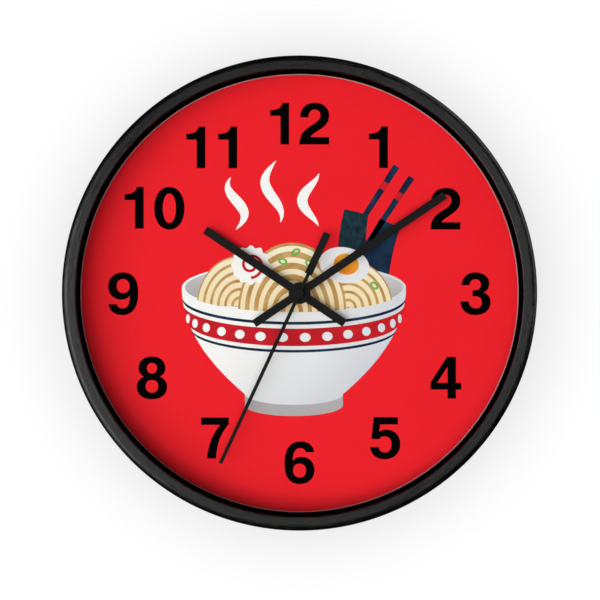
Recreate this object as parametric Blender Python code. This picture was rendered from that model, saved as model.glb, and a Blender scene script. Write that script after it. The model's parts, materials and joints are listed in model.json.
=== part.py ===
"""A round wall clock: black wooden ring frame, clear lens, printed dial, three bar hands and a
battery quartz movement, as separate pieces.

The clock hangs against the wall plane y = 0 and faces -Y, with +Z up. The origin is where the top
of the hanger's keyhole slot rests on the nail. Every size is in millimetres, and every place is
given from the hand axis: x to the right and z up as seen from the front, y forward from the wall
as a negative number. Angles are degrees clockwise from twelve o'clock, as seen from the front.
"""

import math

import bmesh
import bpy
from mathutils import Matrix

MM = 0.001
TOUCH = 0.3  # clearance between pieces that touch
SHEET_METAL = 0.8  # thickness of the pressed steel pieces

# frame ring and what it holds
FRAME_RADIUS = 125.0
FRAME_DEPTH = 42.0
OPENING_RADIUS = 117.3
REBATE_RADIUS = 119.7
REBATE_FRONT = -39.0
OUTER_FILLET = 3.6
INNER_FILLET = 0.7
BACK_CHAMFER = 0.5
DISC_RADIUS = REBATE_RADIUS - TOUCH
WALL_RADIUS = REBATE_RADIUS - 2 * TOUCH  # outer face of what is screwed to the ring's inner wall
LENS = (-38.7, -36.7)
SPACER = (-36.4, -24.4)
DIAL = (-24.1, -23.7)
BOARD = (-23.4, -21.0)
DIAL_HOLE = 4.3

# hanger: the nail seat is the origin of the whole clock
NAIL_TO_AXIS = 108.0
HANGER_PLATE = (-1.5, -0.5)
HANGER_FLANGE_FRONT = -12.0
HANGER_INNER_RADIUS = 92.0
HANGER_HALF_ANGLE = 7.0
SLOT_RADIUS = 2.2
ENTRY_RADIUS = 4.2
ENTRY_DROP = 7.5

# clips that hold the dial stack in the frame
CLIP_ANGLES = (45.0, 135.0, 225.0, 315.0)
CLIP_WIDTH = 12.0
CLIP_FOOT = 10.5
CLIP_BACK = -9.0

# screws in the ring's inner wall
HANGER_SCREW_ANGLES = (-4.5, 4.5)
HANGER_SCREW_Y = -7.0
CLIP_SCREW_Y = -14.0
SCREW_HEAD_RADIUS = 2.6
SCREW_HEAD = 1.4
SCREW_EDGE = 0.5
SCREW_SHANK_RADIUS = 1.2
SCREW_LENGTH = 4.6
SCREW_POINT = 0.8
CROSS_ARM = 1.6
CROSS_HALF = 0.35
CROSS_DEPTH = 0.8
PILOT_RADIUS = SCREW_SHANK_RADIUS + TOUCH

# movement case
CASE_HALF = 28.0
CASE_FRONT = -18.9
CASE_BACK = -2.6
CASE_CORNER = 3.0
CASE_WALL = 1.4
FLOOR = -18.0
POST = 4.5
PARTITION_TOP = -10.1
PARTITION = 1.4
COVER_FRONT = -4.0
BEARING_DEPTH = 0.8
MID_PLATE = (-12.6, -11.6)
MID_PLATE_TOP = 16.8
COLLAR_HOLE = 1.7  # in the mid plate, around the third wheel's collar
SHAFT_RADIUS = 0.9
SHAFT_HOLE = 1.3

# what clamps the movement to the dial board
BUSHING_FRONT = -28.0
BUSHING_FLANGE = (-19.8, -19.2)
BUSHING_FLANGE_RADIUS = 7.0
RUBBER_WASHER = (-20.7, -20.1)
RUBBER_WASHER_RADIUS = 9.0
FLAT_WASHER = (-25.0, -24.4)
HEX_NUT = (-27.4, -25.3)
NUT_RADIUS = 5.7

# hand stack
BUSHING_RADIUS = 4.0
BUSHING_BORE = 2.85
HOUR_TUBE_RADIUS = 2.5
HOUR_TUBE_BORE = 1.85
HOUR_TUBE_FRONT = -29.2
MINUTE_TUBE_RADIUS = 1.5
MINUTE_TUBE_BORE = 0.85
MINUTE_TUBE = (-32.2, -13.0)
MINUTE_NUT = (-31.9, -31.1)
MINUTE_NUT_RADIUS = 2.8
ARBOR_RADIUS = 0.5
ARBOR_FRONT = -33.1
PIVOT_RADIUS = 0.4
BOSS_RADIUS = 2.4
BOSS_STEM = 1.2
BOSS_HEAD = (-34.0, -33.5)
BOSS_EDGE = 0.3
BOSS_BACK = -32.5

# hands, at ten past ten
HOUR_HAND = {"tip": 60.4, "tail": 28.9, "width": 4.35, "hub": 5.8, "turn": 303.8, "y": (-28.8, -28.3)}
MINUTE_HAND = {"tip": 93.2, "tail": 29.1, "width": 4.25, "hub": 5.2, "turn": 56.0, "y": (-30.8, -30.3)}
SECOND_HAND = {"tip": 99.4, "tail": 35.0, "width": 1.9, "hub": 2.2, "turn": 204.9, "y": (-33.2, -32.8)}
COUNTERWEIGHT_START = 10.9
COUNTERWEIGHT_WIDTH = 4.0

# wheels: teeth, the distances and directions between their axes, and their places along y
ROTOR_TEETH = 10
INTERMEDIATE_TEETH = (50, 10)
SECOND_TEETH = (60, 8)
THIRD_TEETH = (60, 8)
CENTRE_TEETH = 64
CANNON_TEETH = 10
MOTION_TEETH = (30, 8)
HOUR_TEETH = 32
INTERMEDIATE_AT = (8.75, 10.0)
ROTOR_AT = (6.6, -30.0)
THIRD_AT = (9.6, 90.0)
MOTION_AT = (10.0, -60.0)
ADDENDUM = 0.9
DEDENDUM = 1.3
ROOT_SHARE = 0.6
TIP_SHARE = 0.22
FLOOR_PIVOT = -18.6
MID_PIVOT = -12.4
COVER_PIVOT = -3.5
ROTOR_PINION = (-8.6, -7.4)
INTERMEDIATE_PINION = (-10.0, -8.8)
INTERMEDIATE_WHEEL = (-8.4, -7.6)
SECOND_WHEEL = (-9.8, -9.0)
SECOND_PINION = (-11.2, -10.1)
THIRD_PINION = (-14.4, -13.1)
THIRD_WHEEL = (-11.0, -10.3)
CENTRE_WHEEL = (-14.1, -13.4)
CLUTCH_SPRING = (-14.7, -14.4)
CANNON_PINION = (-15.95, -15.05)
MOTION_PINION = (-17.0, -16.15)
MOTION_WHEEL = (-15.9, -15.1)
HOUR_WHEEL = (-17.0, -16.2)
FRICTION_WASHER = (-17.7, -17.3)
COLLAR_RADIUS = 0.6
MOTION_COLLAR_RADIUS = 1.2
CLUTCH_LOBES = 3
CLUTCH_LOBE = (3.2, 1.6)  # distance of a lobe's centre from the axis, and the lobe's radius
HOUR_WASHER_RADIUS = 5.5
MOTION_WASHER_RADIUS = 3.0
KNOB = (-2.3, -0.5)
KNOB_RADII = (5.5, 5.1)
KNOB_FLUTES = 24
SHAFT_BACK = -0.8

# motor
MAGNET = (-11.2, -8.9)
MAGNET_RADIUS = 2.6
STATOR = (-10.5, -9.7)
STATOR_BAR = 3.6
STATOR_LEFT, STATOR_RIGHT = -17.0, 15.0
STATOR_LEG = 5.0
STATOR_TOP = 25.0
COIL_Z = 22.2
COIL_Y = -9.0
COIL = (-9.5, 7.5)
COIL_FLANGE = 1.0
COIL_FLANGE_RADIUS = 4.0
COIL_TUBE_RADIUS = 2.6
WINDING_RADIUS = 3.7
CORE_HALF = (1.5, 0.4)

# circuit board, from left to right and from low to high
BOARD_Y = (-7.2, -6.4)
BOARD_OUTLINE = (-25.8, -13.6, -4.6, 17.0)
CHIP_OUTLINE = (-23.0, -16.4, 4.0, 10.6)
CHIP_CORNER = 1.6
CHIP_THICKNESS = 1.0
CRYSTAL_AT = (-19.7, -2.6)
CRYSTAL_RADIUS = 1.0
CRYSTAL_LENGTH = 6.0
CRYSTAL_EDGE = 0.2

# battery and its contacts
BATTERY_Y = -10.7
BATTERY_Z = -19.05
BATTERY_RADIUS = 7.0
BATTERY_ENDS = (-24.2, 24.0)
BATTERY_TERMINAL = (2.7, 1.5)
BATTERY_EDGE = 0.4
CONTACT = 0.4
CONTACT_HALF_WIDTH = 4.0
CONTACT_HALF_HEIGHT = 5.5
LEAF_BEND = 4.6  # height of the spring leaf's upper bend above the cell's axis
LEAF_REACH = 1.4

RING_STEPS = 96
DISC_STEPS = 72
COIL_STEPS = 20
TUBE_STEPS = 24
PIN_STEPS = 12
SHARP_ANGLE = 35.0


def look(name, colour, roughness, metallic=0.0, alpha=1.0):
    """A plain material."""
    made = bpy.data.materials.new(name)
    made.use_nodes = True
    shader = made.node_tree.nodes["Principled BSDF"]
    shader.inputs["Base Color"].default_value = (*colour, 1.0)
    shader.inputs["Roughness"].default_value = roughness
    shader.inputs["Metallic"].default_value = metallic
    shader.inputs["Alpha"].default_value = alpha
    made.diffuse_color = (*colour, alpha)
    return made


def polar(distance, angle):
    """The point (x, z) at a distance from the axis, in a clock direction."""
    return distance * math.sin(math.radians(angle)), distance * math.cos(math.radians(angle))


def moved(point, other):
    """A point (x, z) taken from another."""
    return point[0] + other[0], point[1] + other[1]


INTERMEDIATE = polar(*INTERMEDIATE_AT)
ROTOR = moved(INTERMEDIATE, polar(*ROTOR_AT))
THIRD = polar(*THIRD_AT)
MOTION = polar(*MOTION_AT)


def arc(centre, radius, start, end, steps):
    """Points along an arc, from one clock direction to another, both ends included."""
    turns = [start + (end - start) * i / steps for i in range(steps + 1)]
    return [moved(centre, polar(radius, turn)) for turn in turns]


def circle(radius, steps=TUBE_STEPS, centre=(0, 0)):
    """Points around a circle."""
    return arc(centre, radius, 0, 360, steps)[:-1]


def rectangle(left, right, low, high):
    """The corners of a rectangle."""
    return [(left, low), (left, high), (right, high), (right, low)]


def rounded_rectangle(left, right, low, high, radius, steps=3):
    """A rectangle with round corners."""
    centres = (
        (right - radius, high - radius),
        (right - radius, low + radius),
        (left + radius, low + radius),
        (left + radius, high - radius),
    )
    outline = []
    for i, centre in enumerate(centres):
        outline += arc(centre, radius, 90 * i, 90 * (i + 1), steps)
    return outline


def add_loop(bm, outline, y):
    """A closed loop of edges in the plane y, as its vertices and edges."""
    verts = [bm.verts.new((x, y, z)) for x, z in outline]
    edges = [bm.edges.new(pair) for pair in zip(verts, verts[1:] + verts[:1])]
    return verts, edges


def add_wall(bm, first, second):
    """Quads between two loops with as many points."""
    pairs = list(zip(first[0], second[0]))
    for (a, b), (c, d) in zip(pairs, pairs[1:] + pairs[:1]):
        bm.faces.new((a, b, d, c))


def fill(bm, *loops):
    """A flat face between an outer loop and the loops inside it."""
    edges = [edge for loop in loops for edge in loop[1]]
    bmesh.ops.triangle_fill(bm, edges=edges, use_beauty=True)


def stack(sections, bores=()):
    """One body of outlines stacked along Y: each section is (outline, y where it ends), the first
    starts where the first number says, and the bores run right through."""
    start, *sections = sections
    bm = bmesh.new()
    before = None
    for outline, end in sections:
        near, far = add_loop(bm, outline, start), add_loop(bm, outline, end)
        add_wall(bm, near, far)
        if before is None:
            first = near
        else:
            fill(bm, before, near)
        before, start = far, end
    ends = [(first, []), (before, [])]
    for bore in bores:
        near, far = (add_loop(bm, bore, loop[0][0].co.y) for loop in (first, before))
        add_wall(bm, near, far)
        ends[0][1].append(near)
        ends[1][1].append(far)
    for loop, inner in ends:
        fill(bm, loop, *inner)
    return bm


def plate(outline, span, holes=()):
    """A flat piece between two y values, with holes through it."""
    return stack([span[0], (outline, span[1])], holes)


def turned(profile, steps=RING_STEPS, closed=True):
    """A profile of (radius, y) points turned about Y. An open profile starts and ends on the axis."""
    bm = bmesh.new()
    verts = [bm.verts.new((radius, y, 0)) for radius, y in profile]
    pairs = list(zip(verts, verts[1:] + verts[:1]))
    edges = [bm.edges.new(pair) for pair in (pairs if closed else pairs[:-1])]
    bmesh.ops.spin(
        bm, geom=verts + edges, axis=(0, 1, 0), angle=math.tau, steps=steps, use_merge=True
    )
    bmesh.ops.remove_doubles(bm, verts=bm.verts, dist=MM)
    return bm


def ring(inner, outer, span, steps=TUBE_STEPS):
    """A plain ring or washer."""
    return turned([(inner, span[0]), (outer, span[0]), (outer, span[1]), (inner, span[1])], steps)


def along_x(bm):
    """Lay a piece that was made along +Y along +X."""
    bmesh.ops.rotate(bm, cent=(0, 0, 0), matrix=Matrix.Rotation(-math.pi / 2, 3, "Z"), verts=bm.verts)
    return bm


def along_z(bm):
    """Stand a piece that was made along +Y along +Z."""
    bmesh.ops.rotate(bm, cent=(0, 0, 0), matrix=Matrix.Rotation(math.pi / 2, 3, "X"), verts=bm.verts)
    return bm


def shifted(bm, x=0.0, y=0.0, z=0.0):
    """Move a piece's mesh."""
    bmesh.ops.translate(bm, vec=(x, y, z), verts=bm.verts)
    return bm


def add(name, bm, material, at=(0, 0), turn=0.0):
    """An object from a mesh in millimetres, with its origin at a point (x, z) from the hand axis."""
    bmesh.ops.recalc_face_normals(bm, faces=bm.faces)
    bmesh.ops.scale(bm, vec=(MM, MM, MM), verts=bm.verts)
    mesh = bpy.data.meshes.new(name)
    bm.to_mesh(mesh)
    bm.free()
    if material:
        mesh.materials.append(material)
    mesh.shade_smooth()
    mesh.set_sharp_from_angle(angle=math.radians(SHARP_ANGLE))
    made = bpy.data.objects.new(name, mesh)
    made.location = (at[0] * MM, 0, (at[1] - NAIL_TO_AXIS) * MM)
    made.rotation_euler.y = math.radians(turn)
    bpy.context.scene.collection.objects.link(made)
    return made


def add_cutter(name, pieces):
    """A hidden object of separate bodies, for cutting holes."""
    whole = bmesh.new()
    for piece in pieces:
        bmesh.ops.recalc_face_normals(piece, faces=piece.faces)
        part = bpy.data.meshes.new(name)
        piece.to_mesh(part)
        piece.free()
        whole.from_mesh(part)
        bpy.data.meshes.remove(part)
    made = add(name, whole, None)
    made.hide_render = True
    made.display_type = "WIRE"
    return made


def cut(piece, cutter):
    """Take a cutter's bodies out of a piece."""
    modifier = piece.modifiers.new(cutter.name, "BOOLEAN")
    modifier.operation = "DIFFERENCE"
    modifier.solver = "EXACT"
    modifier.object = cutter


def gear(teeth, module, phase):
    """The outline of a spur gear with a tooth in the clock direction phase. Its teeth are slim, so
    meshed gears never touch."""
    pitch = 360 / teeth
    root = module * (teeth / 2 - DEDENDUM)
    tip = module * (teeth / 2 + ADDENDUM)
    steps = ((-ROOT_SHARE, root), (-TIP_SHARE, tip), (TIP_SHARE, tip), (ROOT_SHARE, root))
    outline = []
    for tooth in range(teeth):
        outline += [polar(radius, phase + pitch * (tooth + share / 2)) for share, radius in steps]
    return outline


def meshed(direction, teeth):
    """The phase of a gear whose gap faces the tooth of a neighbour that lies in this direction."""
    return direction + 180 / teeth


def module_of(distance, *teeth):
    """The module of two gears at this distance."""
    return 2 * distance / sum(teeth)


# ---------------------------------------------------------------- frame, lens and dial


def frame_profile():
    """The ring's cross-section, from the back outer edge over the front to the rebate."""
    front = -FRAME_DEPTH
    outer = arc((FRAME_RADIUS - OUTER_FILLET, front + OUTER_FILLET), OUTER_FILLET, 90, 180, 4)
    inner = arc((OPENING_RADIUS + INNER_FILLET, front + INNER_FILLET), INNER_FILLET, 180, 270, 2)
    return [
        (FRAME_RADIUS - BACK_CHAMFER, 0),
        (FRAME_RADIUS, -BACK_CHAMFER),
        *outer,
        *inner,
        (OPENING_RADIUS, REBATE_FRONT),
        (REBATE_RADIUS, REBATE_FRONT),
        (REBATE_RADIUS, 0),
    ]


def screw_places():
    """(name, angle, y) of every screw in the ring's inner wall."""
    clips = [(f"clip_screw_{i}", angle, CLIP_SCREW_Y) for i, angle in enumerate(CLIP_ANGLES, 1)]
    angles = enumerate(HANGER_SCREW_ANGLES, 1)
    return clips + [(f"hanger_screw_{i}", angle, HANGER_SCREW_Y) for i, angle in angles]


def standing_at(bm, angle):
    """Turn a mesh made at twelve o'clock to another clock direction."""
    turn = Matrix.Rotation(math.radians(angle), 3, "Y")
    bmesh.ops.rotate(bm, cent=(0, 0, 0), matrix=turn, verts=bm.verts)
    return bm


def pilot_hole(angle, y):
    """A hole for a screw, through a steel piece and into the ring's wall."""
    depth = (WALL_RADIUS - SCREW_HEAD_RADIUS, WALL_RADIUS + SCREW_LENGTH - SCREW_EDGE)
    return standing_at(shifted(along_z(plate(circle(PILOT_RADIUS, PIN_STEPS), depth)), y=y), angle)


def driver_recess(angle, y):
    """The cross slot in a screw's head."""
    arm, half = CROSS_ARM, CROSS_HALF
    cross = [(-half, -arm), (-half, -half), (-arm, -half), (-arm, half), (-half, half), (-half, arm)]
    cross += [(-x, -z) for x, z in cross]
    head = WALL_RADIUS - SHEET_METAL - TOUCH - SCREW_HEAD
    return standing_at(shifted(along_z(plate(cross, (head - 1, head + CROSS_DEPTH))), y=y), angle)


def add_screw(name, angle, y, recesses):
    """A pan-head screw that runs outwards into the ring's wall."""
    under = WALL_RADIUS - SHEET_METAL - TOUCH
    point = under + SCREW_LENGTH
    profile = [
        (0, under - SCREW_HEAD),
        (SCREW_HEAD_RADIUS - SCREW_EDGE, under - SCREW_HEAD),
        (SCREW_HEAD_RADIUS, under - SCREW_HEAD + SCREW_EDGE),
        (SCREW_HEAD_RADIUS, under),
        (SCREW_SHANK_RADIUS, under),
        (SCREW_SHANK_RADIUS, point - SCREW_POINT),
        (0, point),
    ]
    bm = shifted(along_z(turned(profile, PIN_STEPS, closed=False)), y=y)
    cut(add(name, bm, ZINC, turn=angle), recesses)


def add_clip(name, angle, holes):
    """An angle clip: a foot on the back of the dial board and an upright on the ring's wall."""
    foot_front = BOARD[1] + TOUCH
    profile = [
        (foot_front, WALL_RADIUS - CLIP_FOOT),
        (foot_front, WALL_RADIUS),
        (CLIP_BACK, WALL_RADIUS),
        (CLIP_BACK, WALL_RADIUS - SHEET_METAL),
        (foot_front + SHEET_METAL, WALL_RADIUS - SHEET_METAL),
        (foot_front + SHEET_METAL, WALL_RADIUS - CLIP_FOOT),
    ]
    bm = bmesh.new()
    sides = []
    for x in (-CLIP_WIDTH / 2, CLIP_WIDTH / 2):
        verts = [bm.verts.new((x, y, z)) for y, z in profile]
        bm.faces.new(verts)
        sides.append((verts, None))
    add_wall(bm, *sides)
    cut(add(name, bm, ZINC, turn=angle), holes)


def add_hanger(holes):
    """A steel plate with a keyhole slot, bent into a flange along the ring's wall."""
    back, front = HANGER_PLATE[1], HANGER_PLATE[0]
    profile = [
        (HANGER_INNER_RADIUS, back),
        (WALL_RADIUS, back),
        (WALL_RADIUS, HANGER_FLANGE_FRONT),
        (WALL_RADIUS - SHEET_METAL, HANGER_FLANGE_FRONT),
        (WALL_RADIUS - SHEET_METAL, front),
        (HANGER_INNER_RADIUS, front),
    ]
    steps = 8
    bm = bmesh.new()
    loops = []
    for i in range(steps + 1):
        angle = HANGER_HALF_ANGLE * (2 * i / steps - 1)
        places = [(polar(radius, angle), y) for radius, y in profile]
        loops.append(([bm.verts.new((x, y, z)) for (x, z), y in places], None))
    for near, far in zip(loops, loops[1:]):
        add_wall(bm, near, far)
    bm.faces.new(loops[0][0])
    bm.faces.new(loops[-1][0])
    hanger = add("hanger_plate", bm, ZINC)

    slot = (0, NAIL_TO_AXIS - SLOT_RADIUS)
    entry = (0, slot[1] - ENTRY_DROP)
    half = math.degrees(math.asin(SLOT_RADIUS / ENTRY_RADIUS))
    keyhole = arc(slot, SLOT_RADIUS, -90, 90, 8) + arc(entry, ENTRY_RADIUS, half, 360 - half, 16)
    cut(hanger, add_cutter("keyhole", [plate(keyhole, (front - 1, back + 1))]))
    cut(hanger, holes)


def add_frame():
    """The ring, what it clamps, and what is screwed to it."""
    holes = add_cutter("pilot_holes", [pilot_hole(angle, y) for _, angle, y in screw_places()])
    recesses = add_cutter("driver_recesses", [driver_recess(angle, y) for _, angle, y in screw_places()])
    cut(add("frame_ring", turned(frame_profile()), BLACK_WOOD), holes)
    disc = circle(DISC_RADIUS, DISC_STEPS)
    add("lens", plate(circle(DISC_RADIUS, RING_STEPS), LENS), CLEAR)
    add("spacer_ring", ring(OPENING_RADIUS, DISC_RADIUS, SPACER, RING_STEPS), MATT_BLACK)
    add("dial_face", plate(disc, DIAL, [circle(DIAL_HOLE)]), PRINT)
    add("dial_board", plate(disc, BOARD, [circle(DIAL_HOLE)]), HARDBOARD)
    for i, angle in enumerate(CLIP_ANGLES, 1):
        add_clip(f"board_clip_{i}", angle, holes)
    add_hanger(holes)
    for name, angle, y in screw_places():
        add_screw(name, angle, y, recesses)


# ---------------------------------------------------------------- movement case


def bay_outline(gap, top=None):
    """The wheel bay's outline, with the corner posts left out of it."""
    side = CASE_HALF - CASE_WALL - gap
    low, high = PARTITION_TOP + gap, side if top is None else top
    inner = side - POST
    left = [(-inner, low), (-inner, low + POST), (-side, low + POST)]
    if top is None:
        left += [(-side, high - POST), (-inner, high - POST), (-inner, high)]
    else:
        left += [(-side, high)]
    return left + [(-x, z) for x, z in reversed(left)]


def add_case():
    """The movement's case, open at the back, with a bay for the wheels and one for the battery."""
    outline = rounded_rectangle(-CASE_HALF, CASE_HALF, -CASE_HALF, CASE_HALF, CASE_CORNER)
    case = add("movement_case", plate(outline, (CASE_FRONT, CASE_BACK)), CASE_PLASTIC)
    side = CASE_HALF - CASE_WALL
    bay = (FLOOR, CASE_BACK + 1)
    battery_bay = rectangle(-side, side, -side, PARTITION_TOP - PARTITION)
    cut(case, add_cutter("case_bays", [plate(bay_outline(0), bay), plate(battery_bay, bay)]))
    through = (CASE_FRONT - 1, FLOOR + 1)
    floor_holes = [
        plate(circle(HOUR_TUBE_RADIUS + TOUCH), through),
        plate(circle(PIVOT_RADIUS + TOUCH, PIN_STEPS, THIRD), through),
        plate(circle(ARBOR_RADIUS + TOUCH, PIN_STEPS, MOTION), through),
    ]
    cut(case, add_cutter("floor_holes", floor_holes))

    shaft_hole = circle(SHAFT_HOLE, PIN_STEPS, MOTION)
    cover = plate(bay_outline(TOUCH), (COVER_FRONT, CASE_BACK), [shaft_hole])
    cover = add("movement_cover", cover, CASE_PLASTIC)
    bearing = (COVER_FRONT - 1, COVER_FRONT + BEARING_DEPTH)
    places = ((0, 0), THIRD, INTERMEDIATE, ROTOR)
    bearings = [plate(circle(ARBOR_RADIUS + TOUCH, PIN_STEPS, place), bearing) for place in places]
    cut(cover, add_cutter("bearings", bearings))

    mid_holes = [
        circle(SHAFT_HOLE, PIN_STEPS),
        circle(COLLAR_HOLE, PIN_STEPS, THIRD),
        circle(ARBOR_RADIUS + TOUCH, PIN_STEPS, INTERMEDIATE),
        circle(ARBOR_RADIUS + TOUCH, PIN_STEPS, ROTOR),
        shaft_hole,
    ]
    add("mid_plate", plate(bay_outline(TOUCH, MID_PLATE_TOP), MID_PLATE, mid_holes), GEAR_WHITE)


def add_fixing():
    """What clamps the movement to the dial board."""
    tube, flange = circle(BUSHING_RADIUS), circle(BUSHING_FLANGE_RADIUS)
    sections = [BUSHING_FRONT, (tube, BUSHING_FLANGE[0]), (flange, BUSHING_FLANGE[1])]
    add("threaded_bushing", stack(sections, [circle(BUSHING_BORE)]), BRASS)
    add("rubber_washer", ring(DIAL_HOLE, RUBBER_WASHER_RADIUS, RUBBER_WASHER), RUBBER)
    add("flat_washer", ring(DIAL_HOLE, NUT_RADIUS, FLAT_WASHER), BRASS)
    add("hex_nut", plate(circle(NUT_RADIUS, 6), HEX_NUT, [circle(DIAL_HOLE)]), BRASS)


# ---------------------------------------------------------------- battery and electronics


def add_battery():
    """The cell along X, and the sheet contacts at its ends."""
    low, high = BATTERY_ENDS
    radius, (terminal, length) = BATTERY_RADIUS, BATTERY_TERMINAL
    profile = [
        (0, low),
        (radius - BATTERY_EDGE, low),
        (radius, low + BATTERY_EDGE),
        (radius, high - BATTERY_EDGE),
        (radius - BATTERY_EDGE, high),
        (terminal, high),
        (terminal, high + length),
        (0, high + length),
    ]
    cell = along_x(turned(profile, 32, closed=False))
    add("aa_battery", shifted(cell, y=BATTERY_Y), CELL_WRAP, at=(0, BATTERY_Z))

    wall = CASE_HALF - CASE_WALL - TOUCH
    tall = (BATTERY_Y - CONTACT_HALF_HEIGHT, BATTERY_Y + CONTACT_HALF_HEIGHT)
    flat = rectangle(wall - CONTACT, wall, -CONTACT_HALF_WIDTH, CONTACT_HALF_WIDTH)
    add("contact_positive", plate(flat, tall), ZINC, at=(0, BATTERY_Z))
    leaf = [
        (0, tall[0]),
        (0, tall[1]),
        (CONTACT, tall[1]),
        (CONTACT, BATTERY_Y - LEAF_BEND),
        (LEAF_REACH, BATTERY_Y),
        (LEAF_REACH / 2, BATTERY_Y + LEAF_BEND),
        (LEAF_REACH / 2 + CONTACT, BATTERY_Y + LEAF_BEND),
        (LEAF_REACH + CONTACT, BATTERY_Y),
        (LEAF_REACH / 2, tall[0]),
    ]
    bm = bmesh.new()
    sides = []
    for z in (-CONTACT_HALF_WIDTH, CONTACT_HALF_WIDTH):
        verts = [bm.verts.new((x - wall, y, z)) for x, y in leaf]
        edges = [bm.edges.new(pair) for pair in zip(verts, verts[1:] + verts[:1])]
        bmesh.ops.triangle_fill(bm, edges=edges, use_beauty=True)
        sides.append((verts, None))
    add_wall(bm, *sides)
    add("contact_negative", bm, ZINC, at=(0, BATTERY_Z))


def add_electronics():
    """The circuit board with its chip and crystal."""
    outline = rounded_rectangle(*BOARD_OUTLINE, 0.8, 1)
    add("circuit_board", plate(outline, BOARD_Y), BOARD_GREEN)
    chip = rounded_rectangle(*CHIP_OUTLINE, CHIP_CORNER)
    foot = BOARD_Y[1] + TOUCH
    add("driver_chip", plate(chip, (foot, foot + CHIP_THICKNESS)), CHIP_BLACK)
    radius, length, edge = CRYSTAL_RADIUS, CRYSTAL_LENGTH, CRYSTAL_EDGE
    profile = [
        (0, 0),
        (radius - edge, 0),
        (radius, edge),
        (radius, length - edge),
        (radius - edge, length),
        (0, length),
    ]
    crystal = along_z(turned(profile, PIN_STEPS, closed=False))
    crystal = shifted(crystal, y=BOARD_Y[0] - TOUCH - radius)
    add("quartz_crystal", crystal, STEEL, at=CRYSTAL_AT)


def add_motor():
    """The coil on its core, the stator around the rotor, and the rotor."""
    low = ROTOR[1] - STATOR_BAR
    high = ROTOR[1] + STATOR_BAR
    stator = [
        (STATOR_LEFT, low),
        (STATOR_LEFT, STATOR_TOP),
        (STATOR_LEFT + STATOR_LEG, STATOR_TOP),
        (STATOR_LEFT + STATOR_LEG, high),
        (STATOR_RIGHT - STATOR_LEG, high),
        (STATOR_RIGHT - STATOR_LEG, STATOR_TOP),
        (STATOR_RIGHT, STATOR_TOP),
        (STATOR_RIGHT, low),
    ]
    add("stator_plate", plate(stator, STATOR, [circle(MAGNET_RADIUS + TOUCH, centre=ROTOR)]), STEEL)

    half_z, half_y = CORE_HALF
    core = rectangle(STATOR_LEFT, STATOR_RIGHT, COIL_Z - half_z, COIL_Z + half_z)
    add("coil_core", plate(core, (COIL_Y - half_y, COIL_Y + half_y)), STEEL)

    start, end = COIL
    flange, tube = circle(COIL_FLANGE_RADIUS, COIL_STEPS), circle(COIL_TUBE_RADIUS, COIL_STEPS)
    spool = [start, (flange, start + COIL_FLANGE), (tube, end - COIL_FLANGE), (flange, end)]
    slot = rectangle(-half_y - TOUCH, half_y + TOUCH, -half_z - TOUCH, half_z + TOUCH)
    bobbin = shifted(along_x(stack(spool, [slot])), y=COIL_Y)
    add("coil_bobbin", bobbin, GEAR_WHITE, at=(0, COIL_Z))
    span = (start + COIL_FLANGE + TOUCH, end - COIL_FLANGE - TOUCH)
    winding = ring(COIL_TUBE_RADIUS + TOUCH, WINDING_RADIUS, span, COIL_STEPS)
    add("coil_winding", shifted(along_x(winding), y=COIL_Y), COPPER, at=(0, COIL_Z))

    pivot = circle(PIVOT_RADIUS, PIN_STEPS)
    module = module_of(ROTOR_AT[0], ROTOR_TEETH, INTERMEDIATE_TEETH[0])
    teeth = gear(ROTOR_TEETH, module, meshed(ROTOR_AT[1] + 180, ROTOR_TEETH))
    sections = [MID_PIVOT, (pivot, ROTOR_PINION[0]), (teeth, ROTOR_PINION[1]), (pivot, COVER_PIVOT)]
    add("rotor_pinion", stack(sections), GEAR_WHITE, ROTOR)
    add("rotor_magnet", ring(PIVOT_RADIUS + TOUCH, MAGNET_RADIUS, MAGNET), MAGNET_GREY, ROTOR)


# ---------------------------------------------------------------- wheels


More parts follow.
